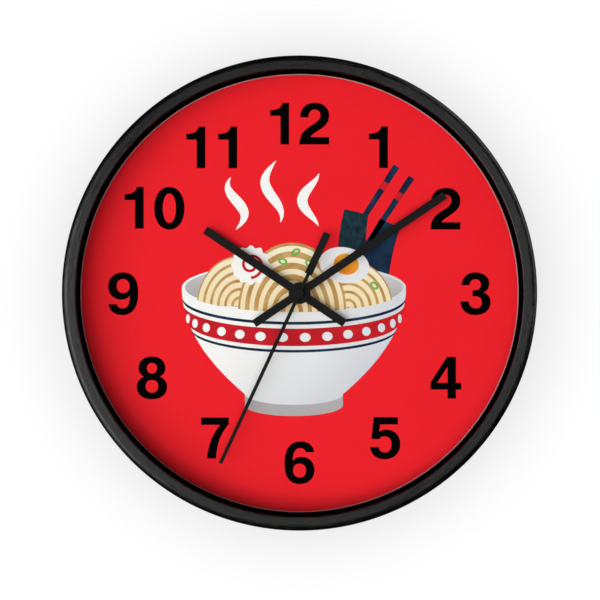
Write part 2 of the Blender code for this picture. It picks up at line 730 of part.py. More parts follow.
def add_going_train():
    """The wheels from the rotor to the centre wheel."""
    pivot, arbor = circle(PIVOT_RADIUS, PIN_STEPS), circle(ARBOR_RADIUS, PIN_STEPS)
    collar = circle(COLLAR_RADIUS, PIN_STEPS)
    rotor_module = module_of(ROTOR_AT[0], ROTOR_TEETH, INTERMEDIATE_TEETH[0])
    second_module = module_of(INTERMEDIATE_AT[0], INTERMEDIATE_TEETH[1], SECOND_TEETH[0])
    third_module = module_of(THIRD_AT[0], SECOND_TEETH[1], THIRD_TEETH[0])
    centre_module = module_of(THIRD_AT[0], THIRD_TEETH[1], CENTRE_TEETH)

    wheel, pinion = INTERMEDIATE_TEETH
    sections = [
        MID_PIVOT,
        (pivot, INTERMEDIATE_PINION[0]),
        (gear(pinion, second_module, meshed(INTERMEDIATE_AT[1] + 180, pinion)), INTERMEDIATE_PINION[1]),
        (collar, INTERMEDIATE_WHEEL[0]),
        (gear(wheel, rotor_module, ROTOR_AT[1]), INTERMEDIATE_WHEEL[1]),
        (pivot, COVER_PIVOT),
    ]
    add("intermediate_wheel", stack(sections), GEAR_WHITE, INTERMEDIATE)

    wheel, pinion = SECOND_TEETH
    bore = circle(ARBOR_RADIUS + TOUCH, PIN_STEPS)
    outline = gear(wheel, second_module, INTERMEDIATE_AT[1])
    add("second_wheel", plate(outline, SECOND_WHEEL, [bore]), GEAR_WHITE)
    sections = [
        ARBOR_FRONT,
        (arbor, SECOND_PINION[0]),
        (gear(pinion, third_module, THIRD_AT[1]), SECOND_PINION[1]),
        (arbor, COVER_PIVOT),
    ]
    add("second_arbor", stack(sections), STEEL)

    wheel, pinion = THIRD_TEETH
    sections = [
        FLOOR_PIVOT,
        (pivot, THIRD_PINION[0]),
        (gear(pinion, centre_module, THIRD_AT[1] + 180), THIRD_PINION[1]),
        (collar, THIRD_WHEEL[0]),
        (gear(wheel, third_module, meshed(THIRD_AT[1] + 180, wheel)), THIRD_WHEEL[1]),
        (pivot, COVER_PIVOT),
    ]
    add("third_wheel", stack(sections), GEAR_WHITE, THIRD)

    bore = circle(MINUTE_TUBE_RADIUS + TOUCH)
    outline = gear(CENTRE_TEETH, centre_module, meshed(THIRD_AT[1], CENTRE_TEETH))
    add("centre_wheel", plate(outline, CENTRE_WHEEL, [bore]), BRASS)
    distance, radius = CLUTCH_LOBE
    lobes = []
    for i in range(CLUTCH_LOBES):
        direction = 360 * i / CLUTCH_LOBES
        lobes += arc(polar(distance, direction), radius, direction - 75, direction + 75, 6)
    add("clutch_spring", plate(lobes, CLUTCH_SPRING, [bore]), STEEL)


def add_motion_work():
    """The wheels that carry the minute and hour hands, and the knob that sets them."""
    distance, direction = MOTION_AT
    wheel, pinion = MOTION_TEETH
    cannon_module = module_of(distance, CANNON_TEETH, wheel)
    hour_module = module_of(distance, pinion, HOUR_TEETH)
    arbor, shaft = circle(ARBOR_RADIUS, PIN_STEPS), circle(SHAFT_RADIUS, PIN_STEPS)

    tube = circle(MINUTE_TUBE_RADIUS)
    sections = [
        MINUTE_TUBE[0],
        (tube, CANNON_PINION[0]),
        (gear(CANNON_TEETH, cannon_module, direction), CANNON_PINION[1]),
        (tube, MINUTE_TUBE[1]),
    ]
    add("minute_arbor", stack(sections, [circle(MINUTE_TUBE_BORE, PIN_STEPS)]), BRASS)

    sections = [
        FLOOR_PIVOT,
        (arbor, MOTION_PINION[0]),
        (gear(pinion, hour_module, direction + 180), MOTION_PINION[1]),
        (circle(MOTION_COLLAR_RADIUS, PIN_STEPS), MOTION_WHEEL[0]),
        (gear(wheel, cannon_module, meshed(direction + 180, wheel)), MOTION_WHEEL[1]),
        (shaft, SHAFT_BACK),
    ]
    add("motion_wheel", stack(sections), GEAR_WHITE, MOTION)

    outline = gear(HOUR_TEETH, hour_module, meshed(direction, HOUR_TEETH))
    sections = [HOUR_TUBE_FRONT, (circle(HOUR_TUBE_RADIUS), HOUR_WHEEL[0]), (outline, HOUR_WHEEL[1])]
    add("hour_wheel", stack(sections, [circle(HOUR_TUBE_BORE)]), GEAR_WHITE)

    add("hour_washer", ring(HOUR_TUBE_RADIUS + TOUCH, HOUR_WASHER_RADIUS, FRICTION_WASHER), BRASS)
    washer = ring(ARBOR_RADIUS + TOUCH, MOTION_WASHER_RADIUS, FRICTION_WASHER, PIN_STEPS)
    add("motion_washer", washer, BRASS, MOTION)

    crest, root = KNOB_RADII
    points = 4 * KNOB_FLUTES
    knob = [polar(crest if i % 4 < 2 else root, 360 * i / points) for i in range(points)]
    bore = circle(SHAFT_RADIUS + TOUCH, PIN_STEPS)
    add("setting_knob", plate(knob, KNOB, [bore]), CASE_PLASTIC, MOTION)


# ---------------------------------------------------------------- hands


def bar_hand(hand, hole):
    """A straight bar with a round hub, pointing to twelve o'clock, as an outline and its hole."""
    half, hub = hand["width"] / 2, hand["hub"]
    clear = math.degrees(math.asin(half / hub))
    outline = [(-half, hand["tip"]), (half, hand["tip"])]
    outline += arc((0, 0), hub, clear, 180 - clear, 10)
    outline += [(half, -hand["tail"]), (-half, -hand["tail"])]
    outline += arc((0, 0), hub, 180 + clear, 360 - clear, 10)
    return outline, circle(hole)


def second_hand_outline():
    """The thin hand with its wide counterweight behind the axis, and its hole."""
    outline, hole = bar_hand({**SECOND_HAND, "tail": COUNTERWEIGHT_START}, BOSS_STEM + TOUCH)
    half, wide = SECOND_HAND["width"] / 2, COUNTERWEIGHT_WIDTH / 2
    start, end = -COUNTERWEIGHT_START, -SECOND_HAND["tail"]
    at = outline.index((half, start)) + 1
    weight = [(wide, start), (wide, end), (-wide, end), (-wide, start)]
    return outline[:at] + weight + outline[at:], hole


def add_hands():
    """The three hands, the minute hand's nut and the second hand's boss."""
    hands = (
        ("hour_hand", HOUR_HAND, bar_hand(HOUR_HAND, HOUR_TUBE_RADIUS + TOUCH)),
        ("minute_hand", MINUTE_HAND, bar_hand(MINUTE_HAND, MINUTE_TUBE_RADIUS + TOUCH)),
        ("second_hand", SECOND_HAND, second_hand_outline()),
    )
    for name, hand, (outline, hole) in hands:
        add(name, plate(outline, hand["y"], [hole]), HAND_BLACK, turn=hand["turn"])
    nut = ring(MINUTE_TUBE_RADIUS + TOUCH, MINUTE_NUT_RADIUS, MINUTE_NUT)
    add("minute_nut", nut, HAND_BLACK)

    front, under = BOSS_HEAD
    bore = ARBOR_RADIUS + TOUCH
    bottom = ARBOR_FRONT - TOUCH
    profile = [
        (0, front),
        (BOSS_RADIUS - BOSS_EDGE, front),
        (BOSS_RADIUS, front + BOSS_EDGE),
        (BOSS_RADIUS, under),
        (BOSS_STEM, under),
        (BOSS_STEM, BOSS_BACK),
        (bore, BOSS_BACK),
        (bore, bottom),
        (0, bottom),
    ]
    boss = turned(profile, TUBE_STEPS, closed=False)
    add("second_hand_boss", boss, HAND_BLACK, turn=SECOND_HAND["turn"])


for old in list(bpy.data.objects):
    bpy.data.objects.remove(old, do_unlink=True)

BLACK_WOOD = look("black_wood", (0.014, 0.013, 0.012), 0.42)
MATT_BLACK = look("matt_black", (0.004, 0.004, 0.004), 0.8)
CLEAR = look("clear_acrylic", (0.95, 0.97, 0.98), 0.05, alpha=0.15)
PRINT = look("dial_print", (0.82, 0.012, 0.02), 0.55)
HARDBOARD = look("hardboard", (0.23, 0.13, 0.07), 0.8)
ZINC = look("zinc_plated_steel", (0.55, 0.56, 0.58), 0.35, 1.0)
STEEL = look("steel", (0.45, 0.46, 0.48), 0.3, 1.0)
BRASS = look("brass", (0.7, 0.5, 0.2), 0.3, 1.0)
COPPER = look("enamelled_copper", (0.55, 0.2, 0.08), 0.35, 1.0)
MAGNET_GREY = look("magnet", (0.1, 0.1, 0.11), 0.45, 0.8)
CASE_PLASTIC = look("case_plastic", (0.015, 0.015, 0.016), 0.5)
GEAR_WHITE = look("gear_plastic", (0.75, 0.74, 0.7), 0.45)
RUBBER = look("black_rubber", (0.02, 0.02, 0.02), 0.85)
CELL_WRAP = look("cell_wrap", (0.03, 0.12, 0.3), 0.3)
BOARD_GREEN = look("board_green", (0.01, 0.12, 0.04), 0.4)
CHIP_BLACK = look("chip_black", (0.01, 0.01, 0.01), 0.3)
HAND_BLACK = look("hand_black", (0.014, 0.014, 0.014), 0.6)

add_frame()
add_case()
add_fixing()
add_battery()
add_electronics()
add_motor()
add_going_train()
add_motion_work()
add_hands()
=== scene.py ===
"""Looks for a round wall clock with a black wooden ring frame, a printed red dial and three hands.

Every mesh is made in millimetres around the hand axis: x to the right and z up as seen from the
front, y forward from the wall as a negative number. Angles are degrees clockwise from twelve
o'clock, as seen from the front. The places along y come from the frame's nodes.
"""

import json
import math

import bmesh
import bpy
from mathutils import Matrix, Vector


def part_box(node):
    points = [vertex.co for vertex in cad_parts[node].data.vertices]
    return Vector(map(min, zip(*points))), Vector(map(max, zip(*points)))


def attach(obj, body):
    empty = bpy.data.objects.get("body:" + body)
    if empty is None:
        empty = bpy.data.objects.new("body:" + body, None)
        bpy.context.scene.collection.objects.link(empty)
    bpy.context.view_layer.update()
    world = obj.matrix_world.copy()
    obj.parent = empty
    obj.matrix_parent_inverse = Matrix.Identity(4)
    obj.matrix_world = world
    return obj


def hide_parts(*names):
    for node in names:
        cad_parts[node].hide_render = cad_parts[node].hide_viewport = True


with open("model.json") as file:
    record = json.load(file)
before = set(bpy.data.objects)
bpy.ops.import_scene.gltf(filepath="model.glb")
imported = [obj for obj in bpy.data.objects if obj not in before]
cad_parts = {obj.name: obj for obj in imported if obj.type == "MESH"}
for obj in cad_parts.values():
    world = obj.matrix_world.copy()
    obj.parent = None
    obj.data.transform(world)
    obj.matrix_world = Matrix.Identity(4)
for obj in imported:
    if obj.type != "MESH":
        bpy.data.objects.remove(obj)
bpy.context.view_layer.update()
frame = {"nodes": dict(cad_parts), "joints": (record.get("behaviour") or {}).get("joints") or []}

MM = 0.001
AXIS = Vector(frame["joints"][0]["pos_m"])
SHARP_ANGLE = math.radians(35)


def span(node):
    """A CAD node's front and back, in millimetres."""
    low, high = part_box(node)
    return low.y / MM, high.y / MM


def half_width(node):
    """Half a CAD node's width, in millimetres."""
    low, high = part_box(node)
    return (high.x - low.x) / 2 / MM


# frame ring
FRAME_RADIUS = half_width("frame_ring")
FRAME_FRONT, FRAME_BACK = span("frame_ring")
DISC_RADIUS = half_width("lens")
OPENING_RADIUS = FRAME_RADIUS - 7.7
REBATE_RADIUS = DISC_RADIUS + 0.3
REBATE_FRONT = FRAME_FRONT + 3.0
LENS_EDGE = 0.15
SPACER_EDGE = 0.1
OUTER_FILLET = 3.6
INNER_FILLET = 0.7
BACK_ROUND = 0.5

# dial
DIAL_HOLE = 4.3
SHEET_EDGE = 0.05
BOARD_EDGE = 0.25
BORDER_WIDTH = 0.45
INK = 0.02  # thickness of a printed layer
NUMERAL_HEIGHT = 22.3
NUMERAL_RADIUS = 90.5
SIDE_NUMERAL_RADIUS = 94.4
NUMERAL_SHIFTS = {  # off the ring of numerals, right and up
    1: (-1.3, -0.2),
    5: (0.8, 1.2),
    7: (0.0, 1.0),
    8: (-0.7, 0.2),
    10: (0.1, 0.5),
    11: (0.0, -0.3),
    12: (-0.4, 0.3),
}
CAP_HEIGHT = 710.0  # the digits' own units
DIGIT_WIDTH = 552.0
DIGIT_PITCH = 517.0
DIGIT_STRETCH = 1.05

# hands, at ten past ten
HOUR_HAND = {"tip": 60.4, "tail": 28.9, "width": 4.35, "hub": 5.8, "hole": 2.8, "angle": 303.8}
MINUTE_HAND = {"tip": 93.2, "tail": 29.1, "width": 4.25, "hub": 5.2, "hole": 1.8, "angle": 56.0}
SECOND_HAND = {"tip": 99.4, "tail": 35.0, "width": 1.9, "hub": 2.2, "hole": 1.5, "angle": 204.9}
COLLET_WALL = 0.8
COUNTERWEIGHT_START = 10.9
COUNTERWEIGHT_WIDTH = 4.0
HAND_EDGE = 0.12

# bowl on the dial, as seen from a little above
BOWL_CENTRE = (-3.0, 3.0)
BOWL_RADIUS = 60.0
BOWL_DEPTH = 57.0
BOWL_POINT = 76.0  # depth where the bowl's curve would meet its axis
BOWL_TILT = 0.22
NOODLES = 6  # in a skein

# raised marks on the movement's cover
RAISED = 0.4
SIGN_SIZE = (1.5, 0.35)  # length and half width of an arm
SIGN_REACH = 17.0  # to either side of the cell's middle
SIGN_RISE = 12.5  # above the cell's axis
ARROW_RADIUS = 8.0
ARROW_WIDTH = 0.7
ARROW_TURNS = ((205, 265), (155, 95))
ARROW_HEAD = 11  # in degrees of the arrow's circle

CIRCLE_STEPS = 256
TUBE_STEPS = 64
CURVE_STEPS = 12


# ---------------------------------------------------------------- outlines


def polar(distance, angle):
    """The point (x, z) at a distance from the axis, in a clock direction."""
    return distance * math.sin(math.radians(angle)), distance * math.cos(math.radians(angle))


def moved(point, other):
    """A point (x, z) taken from another."""
    return point[0] + other[0], point[1] + other[1]


def arc(centre, radius, start, end, steps):
    """Points along an arc, from one clock direction to another, both ends included."""
    turns = [start + (end - start) * i / steps for i in range(steps + 1)]
    return [moved(centre, polar(radius, turn)) for turn in turns]


def circle(radius, steps=TUBE_STEPS, centre=(0, 0)):
    """Points around a circle."""
    return arc(centre, radius, 0, 360, steps)[:-1]


def oval(centre, width, height, lean=0.0, steps=TUBE_STEPS):
    """Points around an ellipse that leans clockwise."""
    turn = math.radians(lean)
    across, along = math.cos(turn), math.sin(turn)
    points = []
    for x, z in circle(1, steps):
        x, z = x * width, z * height
        points.append(moved(centre, (x * across + z * along, z * across - x * along)))
    return points


def cubic(start, first, second, end, steps=CURVE_STEPS):
    """Points along a Bezier curve, without its start."""
    points = []
    for i in range(1, steps + 1):
        t = i / steps
        weights = ((1 - t) ** 3, 3 * t * (1 - t) ** 2, 3 * t * t * (1 - t), t**3)
        places = (start, first, second, end)
        points.append(tuple(sum(w * p[k] for w, p in zip(weights, places)) for k in (0, 1)))
    return points


def traced(path):
    """The closed loops of a path written as M point, L point, C three points, and Z."""
    loops, words = [], path.split()
    while words:
        command = words.pop(0)
        if command == "Z":
            if math.dist(loops[-1][0], loops[-1][-1]) < MM:
                loops[-1].pop()
            continue
        count = {"M": 1, "L": 1, "C": 3}[command]
        points = [(float(words.pop(0)), float(words.pop(0))) for _ in range(count)]
        if command == "M":
            loops.append(points)
        elif command == "L":
            loops[-1] += points
        else:
            loops[-1] += cubic(loops[-1][-1], *points)
    return loops


def stroke(points, width):
    """The outline of a line along points, with its width at each share of the way."""
    sides = ([], [])
    for i, (x, z) in enumerate(points):
        before, after = points[max(i - 1, 0)], points[min(i + 1, len(points) - 1)]
        along = Vector((after[0] - before[0], after[1] - before[1])).normalized()
        half = width(i / (len(points) - 1)) / 2
        sides[0].append((x - along.y * half, z + along.x * half))
        sides[1].append((x + along.y * half, z - along.x * half))
    return sides[0] + sides[1][::-1]


# ---------------------------------------------------------------- meshes


def add_loop(bm, outline, y):
    """A closed loop of edges in the plane y, as its vertices and edges."""
    verts = [bm.verts.new((x, y, z)) for x, z in outline]
    edges = [bm.edges.new(pair) for pair in zip(verts, verts[1:] + verts[:1])]
    return verts, edges


def add_plate(bm, outline, front, back, holes=()):
    """A flat closed body between two y values, with holes through it."""
    ends = ([], [])
    for loop in (outline, *holes):
        near, far = add_loop(bm, loop, front), add_loop(bm, loop, back)
        pairs = list(zip(near[0], far[0]))
        for (a, b), (c, d) in zip(pairs, pairs[1:] + pairs[:1]):
            bm.faces.new((a, b, d, c))
        ends[0].extend(near[1])
        ends[1].extend(far[1])
    for edges in ends:
        bmesh.ops.triangle_fill(bm, edges=edges, use_beauty=True)


def plate(outline, front, back, holes=()):
    """A mesh of one flat closed body."""
    bm = bmesh.new()
    add_plate(bm, outline, front, back, holes)
    return bm


def turned(profile, steps=CIRCLE_STEPS, closed=True):
    """A profile of (radius, y) points turned about Y. An open profile starts and ends on the axis."""
    bm = bmesh.new()
    verts = [bm.verts.new((radius, y, 0)) for radius, y in profile]
    pairs = list(zip(verts, verts[1:] + verts[:1]))
    edges = [bm.edges.new(pair) for pair in (pairs if closed else pairs[:-1])]
    bmesh.ops.spin(
        bm, geom=verts + edges, axis=(0, 1, 0), angle=math.tau, steps=steps, use_merge=True
    )
    bmesh.ops.remove_doubles(bm, verts=bm.verts, dist=MM)
    return bm


def rounded_ring(inner, outer, front, back, edge, steps=CIRCLE_STEPS):
    """A ring or, with no inner radius, a disc, with rounded edges."""
    low, high = front + edge, back - edge
    profile = arc((outer - edge, high), edge, 0, 90, 4) + arc((outer - edge, low), edge, 90, 180, 4)
    if inner:
        profile += arc((inner + edge, low), edge, 180, 270, 4)
        profile += arc((inner + edge, high), edge, 270, 360, 4)
        return turned(profile, steps)
    return turned([(0, back), *profile, (0, front)], steps, closed=False)


def soften(piece, width):
    """Round a piece's edges."""
    weld = piece.modifiers.new("weld", "WELD")
    weld.merge_threshold = MM * MM
    bevel = piece.modifiers.new("edges", "BEVEL")
    bevel.width = width * MM
    bevel.segments = 2
    bevel.limit_method = "ANGLE"
    bevel.angle_limit = SHARP_ANGLE
    bevel.harden_normals = True


def add(name, bm, material, body="clock_body", replaces=(), edge=0.0, turn=0.0):
    """A piece from a mesh in millimetres. It rides on a body and may stand for CAD nodes."""
    bmesh.ops.recalc_face_normals(bm, faces=bm.faces)
    bmesh.ops.scale(bm, vec=(MM, MM, MM), verts=bm.verts)
    mesh = bpy.data.meshes.new(name)
    bm.to_mesh(mesh)
    bm.free()
    mesh.materials.append(material)
    mesh.shade_smooth()
    mesh.set_sharp_from_angle(angle=SHARP_ANGLE)
    made = bpy.data.objects.new(name, mesh)
    made.location = AXIS
    made.rotation_euler.y = math.radians(turn)
    bpy.context.scene.collection.objects.link(made)
    if edge:
        soften(made, edge)
    else:
        made.modifiers.new("normals", "WEIGHTED_NORMAL").keep_sharp = True
    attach(made, body)
    if replaces:
        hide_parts(*replaces)
    return made


# ---------------------------------------------------------------- materials


class Finish:
    """A Principled material whose colour, roughness and bump come from nodes in object space."""

    def __init__(self, name, **settings):
        self.material = bpy.data.materials.new(name)
        self.material.use_nodes = True
        self.tree = self.material.node_tree
        self.shader = self.tree.nodes["Principled BSDF"]
        for socket, value in settings.items():
            self.shader.inputs[socket.replace("_", " ")].default_value = value
        self.place = self.node("TexCoord").outputs["Object"]

    def node(self, kind, sources=None, **attributes):
        """A shader node, with its sockets set from other sockets or from values."""
        made = self.tree.nodes.new("ShaderNode" + kind)
        for attribute, value in attributes.items():
            setattr(made, attribute, value)
        for socket, source in (sources or {}).items():
            if isinstance(source, bpy.types.NodeSocket):
                self.tree.links.new(source, made.inputs[socket])
            else:
                made.inputs[socket].default_value = source
        return made

    def math(self, operation, first, second=0.0):
        """One step of arithmetic on two values."""
        return self.node("Math", {0: first, 1: second}, operation=operation).outputs[0]

    def split(self, place=None):
        """The x, y and z of a place."""
        return self.node("SeparateXYZ", {"Vector": place or self.place}).outputs

    def noise(self, size, stretch=(1, 1, 1), detail=3.0, roughness=0.5, place=None):
        """Noise with features of a size in millimetres, stretched along the axes."""
        scale = [1 / (size * MM * share) for share in stretch]
        placed = self.node("Mapping", {"Vector": place or self.place, "Scale": scale})
        sources = {"Vector": placed.outputs[0], "Scale": 1.0, "Detail": detail, "Roughness": roughness}
        return self.node("TexNoise", sources).outputs["Fac"]

    def spread(self, value, low, high, start=0.3, end=0.7):
        """A value between start and end, spread between low and high."""
        sources = {"Value": value, "From Min": start, "From Max": end, "To Min": low, "To Max": high}
        return self.node("MapRange", sources).outputs[0]

    def tones(self, value, *tones):
        """A colour picked by a value from (place, colour) tones."""
        made = self.node("ValToRGB", {"Fac": value})
        ramp = made.color_ramp.elements
        while len(ramp) < len(tones):
            ramp.new(0.5)
        for element, (place, colour) in zip(ramp, tones):
            element.position = place
            element.color = (*colour, 1.0)
        return made.outputs["Color"]

    def mixed(self, share, first, second):
        """One colour laid over another by a share."""
        made = self.node("Mix", data_type="RGBA")
        for socket, source in ((0, share), (6, first), (7, second)):
            self.tree.links.new(source, made.inputs[socket])
        return made.outputs[2]

    def use(self, colour=None, roughness=None, height=None, depth=0.0):
        """Wire the shader. The depth of the bump is in millimetres."""
        for socket, source in (("Base Color", colour), ("Roughness", roughness)):
            if source is not None:
                self.tree.links.new(source, self.shader.inputs[socket])
        if height is not None:
            bump = self.node("Bump", {"Height": height, "Strength": 1.0, "Distance": depth * MM})
            self.tree.links.new(bump.outputs[0], self.shader.inputs["Normal"])
        return self.material


def around(finish, along, across):
    """A place whose first and last parts run round the hand axis, and whose middle part runs over
    the ring's section, for grain that follows the ring without a seam."""
    x, y, z = finish.split()
    flat = finish.node("CombineXYZ", {"X": x, "Z": z}).outputs[0]
    radius = finish.node("VectorMath", {0: flat}, operation="LENGTH").outputs["Value"]
    unit = finish.node("VectorMath", {0: flat}, operation="NORMALIZE").outputs[0]
    unit_x, _, unit_z = finish.split(unit)
    sources = {
        "X": finish.math("MULTIPLY", unit_x, along * MM),
        "Y": finish.math("MULTIPLY", finish.math("ADD", radius, y), across),
        "Z": finish.math("MULTIPLY", unit_z, along * MM),
    }
    return finish.node("CombineXYZ", sources).outputs[0]


def black_wood():
    """Satin black paint over close wood grain that runs round the ring."""
    finish = Finish("black_wood", IOR=1.46)
    place = around(finish, 6.0, 1.0)
    grain = finish.noise(0.5, place=place, detail=5.0, roughness=0.6)
    pores = finish.noise(0.35, place=around(finish, 3.0, 1.0), detail=2.0)
    cloud = finish.noise(14)
    colour = finish.tones(grain, (0.3, (0.0012, 0.0012, 0.0012)), (0.7, (0.0028, 0.0027, 0.0026)))
    rough = finish.math("ADD", finish.spread(cloud, 0.26, 0.3), finish.spread(grain, 0.04, -0.02))
    height = finish.math("ADD", grain, finish.spread(pores, -0.8, 0.0, 0.25, 0.4))
    return finish.use(colour, rough, height, 0.13)


def matt_black():
    """Flat black paper or ink."""
    finish = Finish("matt_black", Specular_IOR_Level=0.0)
    fibre = finish.noise(0.4, detail=4.0)
    colour = finish.tones(fibre, (0.3, (0.0008, 0.0008, 0.0008)), (0.7, (0.0022, 0.0022, 0.0022)))
    return finish.use(colour, finish.spread(fibre, 0.75, 0.9), fibre, 0.006)


def clear_acrylic():
    """A clear lens that lets the light through to the dial."""
    finish = Finish("clear_acrylic", IOR=1.49, Transmission_Weight=1.0, Base_Color=(1, 1, 1, 1))
    haze = finish.noise(30)
    finish.use(roughness=finish.spread(haze, 0.0, 0.004))
    links, output = finish.tree.links, finish.tree.nodes["Material Output"]
    pane = finish.node("BsdfTransparent")
    mix = finish.node("MixShader", {0: finish.node("LightPath").outputs["Is Shadow Ray"]})
    links.new(finish.shader.outputs[0], mix.inputs[1])
    links.new(pane.outputs[0], mix.inputs[2])
    links.new(mix.outputs[0], output.inputs["Surface"])
    return finish.material


def printed_paper(name, low, high, cloud_size=40.0, sweep=None):
    """Ink on coated paper: two close tones, with fine fibres. A sweep is the direction (x, z) and
    the two distances from the hand axis between which the first tone turns into the second."""
    finish = Finish(name, Specular_IOR_Level=0.08)
    fibre = finish.noise(0.25, stretch=(2, 1, 1), detail=4.0)
    share = finish.noise(cloud_size)
    if sweep:
        (along_x, along_z), start, end = sweep
        x, _, z = finish.split()
        along = finish.math(
            "ADD", finish.math("MULTIPLY", x, along_x), finish.math("MULTIPLY", z, along_z)
        )
        wander = finish.math("MULTIPLY", finish.math("SUBTRACT", share, 0.5), (end - start) * MM * 0.4)
        share = finish.spread(finish.math("ADD", along, wander), 0.3, 0.7, start * MM, end * MM)
    colour = finish.tones(share, (0.3, low), (0.7, high))
    return finish.use(colour, finish.spread(fibre, 0.55, 0.65), fibre, 0.003)


def hardboard():
    """Brown pressed fibres with the mark of the press's screen."""
    finish = Finish("hardboard", Specular_IOR_Level=0.25)
    halves = []
    for stretch in ((4, 1, 1), (1, 1, 4)):
        fibres = finish.noise(0.5, stretch=stretch, detail=5.0, roughness=0.65)
        halves.append(finish.math("MULTIPLY", fibres, 0.5))
    fibre = finish.math("ADD", *halves)
    flecks = finish.noise(1.6, stretch=(1.5, 1, 1), detail=2.0)
    weave = []
    for direction in ("X", "Z"):
        sources = {"Vector": finish.place, "Scale": 260.0, "Distortion": 0.4}
        wave = finish.node("TexWave", sources, bands_direction=direction)
        weave.append(wave.outputs["Fac"])
    screen = finish.math("MULTIPLY", *weave)
    ground = finish.tones(fibre, (0.35, (0.085, 0.042, 0.02)), (0.65, (0.23, 0.125, 0.06)))
    pale = finish.tones(fibre, (0.4, (0.2, 0.11, 0.055)), (0.7, (0.34, 0.2, 0.11)))
    colour = finish.mixed(finish.spread(flecks, 0.0, 0.7, 0.5, 0.75), ground, pale)
    height = finish.math("ADD", fibre, finish.math("MULTIPLY", screen, 0.8))
    return finish.use(colour, finish.spread(fibre, 0.9, 0.7), height, 0.12)


def sheet_metal(name, dull, bright, roughness, brushed):
    """Plated or plain metal with rolling marks and a slight mottle."""
    finish = Finish(name, Metallic=0.8)
    marks = finish.noise(0.2, stretch=brushed, detail=4.0)
    mottle = finish.noise(4.0, detail=2.0)
    colour = finish.tones(mottle, (0.3, dull), (0.7, bright))
    rough = finish.spread(mottle, roughness - 0.04, roughness + 0.04)
    rough = finish.math("ADD", rough, finish.spread(marks, -0.03, 0.03))
    return finish.use(colour, rough, marks, 0.004)


def moulded_plastic(name, low, high, roughness, texture):
    """Plastic with the fine spark-eroded texture of its mould."""
    finish = Finish(name)
    sparks = finish.noise(texture, detail=2.0)
    flow = finish.noise(9, stretch=(1, 1, 2.5))
    colour = finish.tones(flow, (0.35, low), (0.65, high))
    rough = finish.spread(flow, roughness - 0.05, roughness + 0.05)
    rough = finish.math("ADD", rough, finish.spread(sparks, -0.04, 0.04))
    return finish.use(colour, rough, sparks, 0.008)


def hand_paint():
    """Matt black paint on pressed aluminium, with a fine powdery grain."""
    finish = Finish("hand_black", Specular_IOR_Level=0.1)
    grain = finish.noise(0.18, detail=3.0)
    cloud = finish.noise(8)
    colour = finish.tones(cloud, (0.35, (0.0085, 0.0085, 0.0083)), (0.65, (0.0105, 0.0105, 0.0103)))
    return finish.use(colour, finish.spread(grain, 0.55, 0.68), grain, 0.004)


def cell_wrap():
    """A shrunk film wrap in two tones, with its end folded in."""
    finish = Finish("cell_wrap", Coat_Weight=0.4, Coat_Roughness=0.15)
    x, _, _ = finish.split()
    band = finish.spread(x, 0, 1, 0.0118, 0.0122)
    wrinkle = finish.noise(1.2, stretch=(3, 1, 1), detail=3.0)
    body = finish.tones(wrinkle, (0.3, (0.009, 0.023, 0.08)), (0.7, (0.011, 0.028, 0.095)))
    end = finish.tones(wrinkle, (0.3, (0.38, 0.38, 0.39)), (0.7, (0.44, 0.44, 0.45)))
    return finish.use(finish.mixed(band, body, end), finish.spread(wrinkle, 0.25, 0.32), wrinkle, 0.006)


def winding_wire():
    """Fine enamelled wire, wound side by side along x. Its colour is darker in the grooves between
    turns: painted shade.
    """
    finish = Finish("enamelled_copper", Metallic=1.0, Coat_Weight=0.5, Coat_Roughness=0.1)
    sources = {"Vector": finish.place, "Scale": 1600.0}
    wire_ridges_and_groove_shade = finish.node("TexWave", sources, bands_direction="X").outputs["Fac"]
    # Painted shade: the waves that make the wire's ridges also darken the colour in the grooves between
    # turns.
    colour = finish.tones(wire_ridges_and_groove_shade, (0.1, (0.2, 0.06, 0.025)), (0.7, (0.6, 0.22, 0.09)))
    return finish.use(colour, finish.spread(wire_ridges_and_groove_shade, 0.4, 0.28), wire_ridges_and_groove_shade, 0.03)


def make_finishes():
    """One finish for each of the record's material slots."""
    made = {
        "black_wood": black_wood(),
        "matt_black": matt_black(),
        "clear_acrylic": clear_acrylic(),
        "dial_print": printed_paper("dial_print", (0.815, 0.0118, 0.0195), (0.845, 0.0126, 0.021)),
        "hardboard": hardboard(),
        "enamelled_copper": winding_wire(),
        "cell_wrap": cell_wrap(),
        "hand_black": hand_paint(),
    }
    # a darker and a lighter tone, roughness, and the rolling marks' stretch
    metals = {
        "zinc_plated_steel": ((0.52, 0.53, 0.55), (0.62, 0.63, 0.64), 0.32, (1, 1, 5)),
        "steel": ((0.38, 0.385, 0.4), (0.5, 0.5, 0.52), 0.3, (6, 1, 1)),
        "brass": ((0.6, 0.4, 0.14), (0.76, 0.54, 0.22), 0.28, (1, 1, 1)),
        "magnet": ((0.08, 0.08, 0.085), (0.13, 0.13, 0.14), 0.5, (1, 1, 1)),
    }
    # a darker and a lighter tone, roughness, and the size of the texture
    plastics = {
        "case_plastic": ((0.016, 0.016, 0.017), (0.022, 0.022, 0.023), 0.45, 0.12),
        "gear_plastic": ((0.68, 0.67, 0.63), (0.76, 0.75, 0.71), 0.4, 0.3),
        "black_rubber": ((0.012, 0.012, 0.012), (0.02, 0.02, 0.02), 0.8, 0.4),
        "board_green": ((0.008, 0.09, 0.03), (0.012, 0.14, 0.05), 0.35, 0.8),
        "chip_black": ((0.008, 0.008, 0.008), (0.013, 0.013, 0.013), 0.45, 0.12),
    }
    for name, settings in metals.items():
        made[name] = sheet_metal(name, *settings)
    for name, settings in plastics.items():
        made[name] = moulded_plastic(name, *settings)
    return made


# ---------------------------------------------------------------- frame, lens and dial


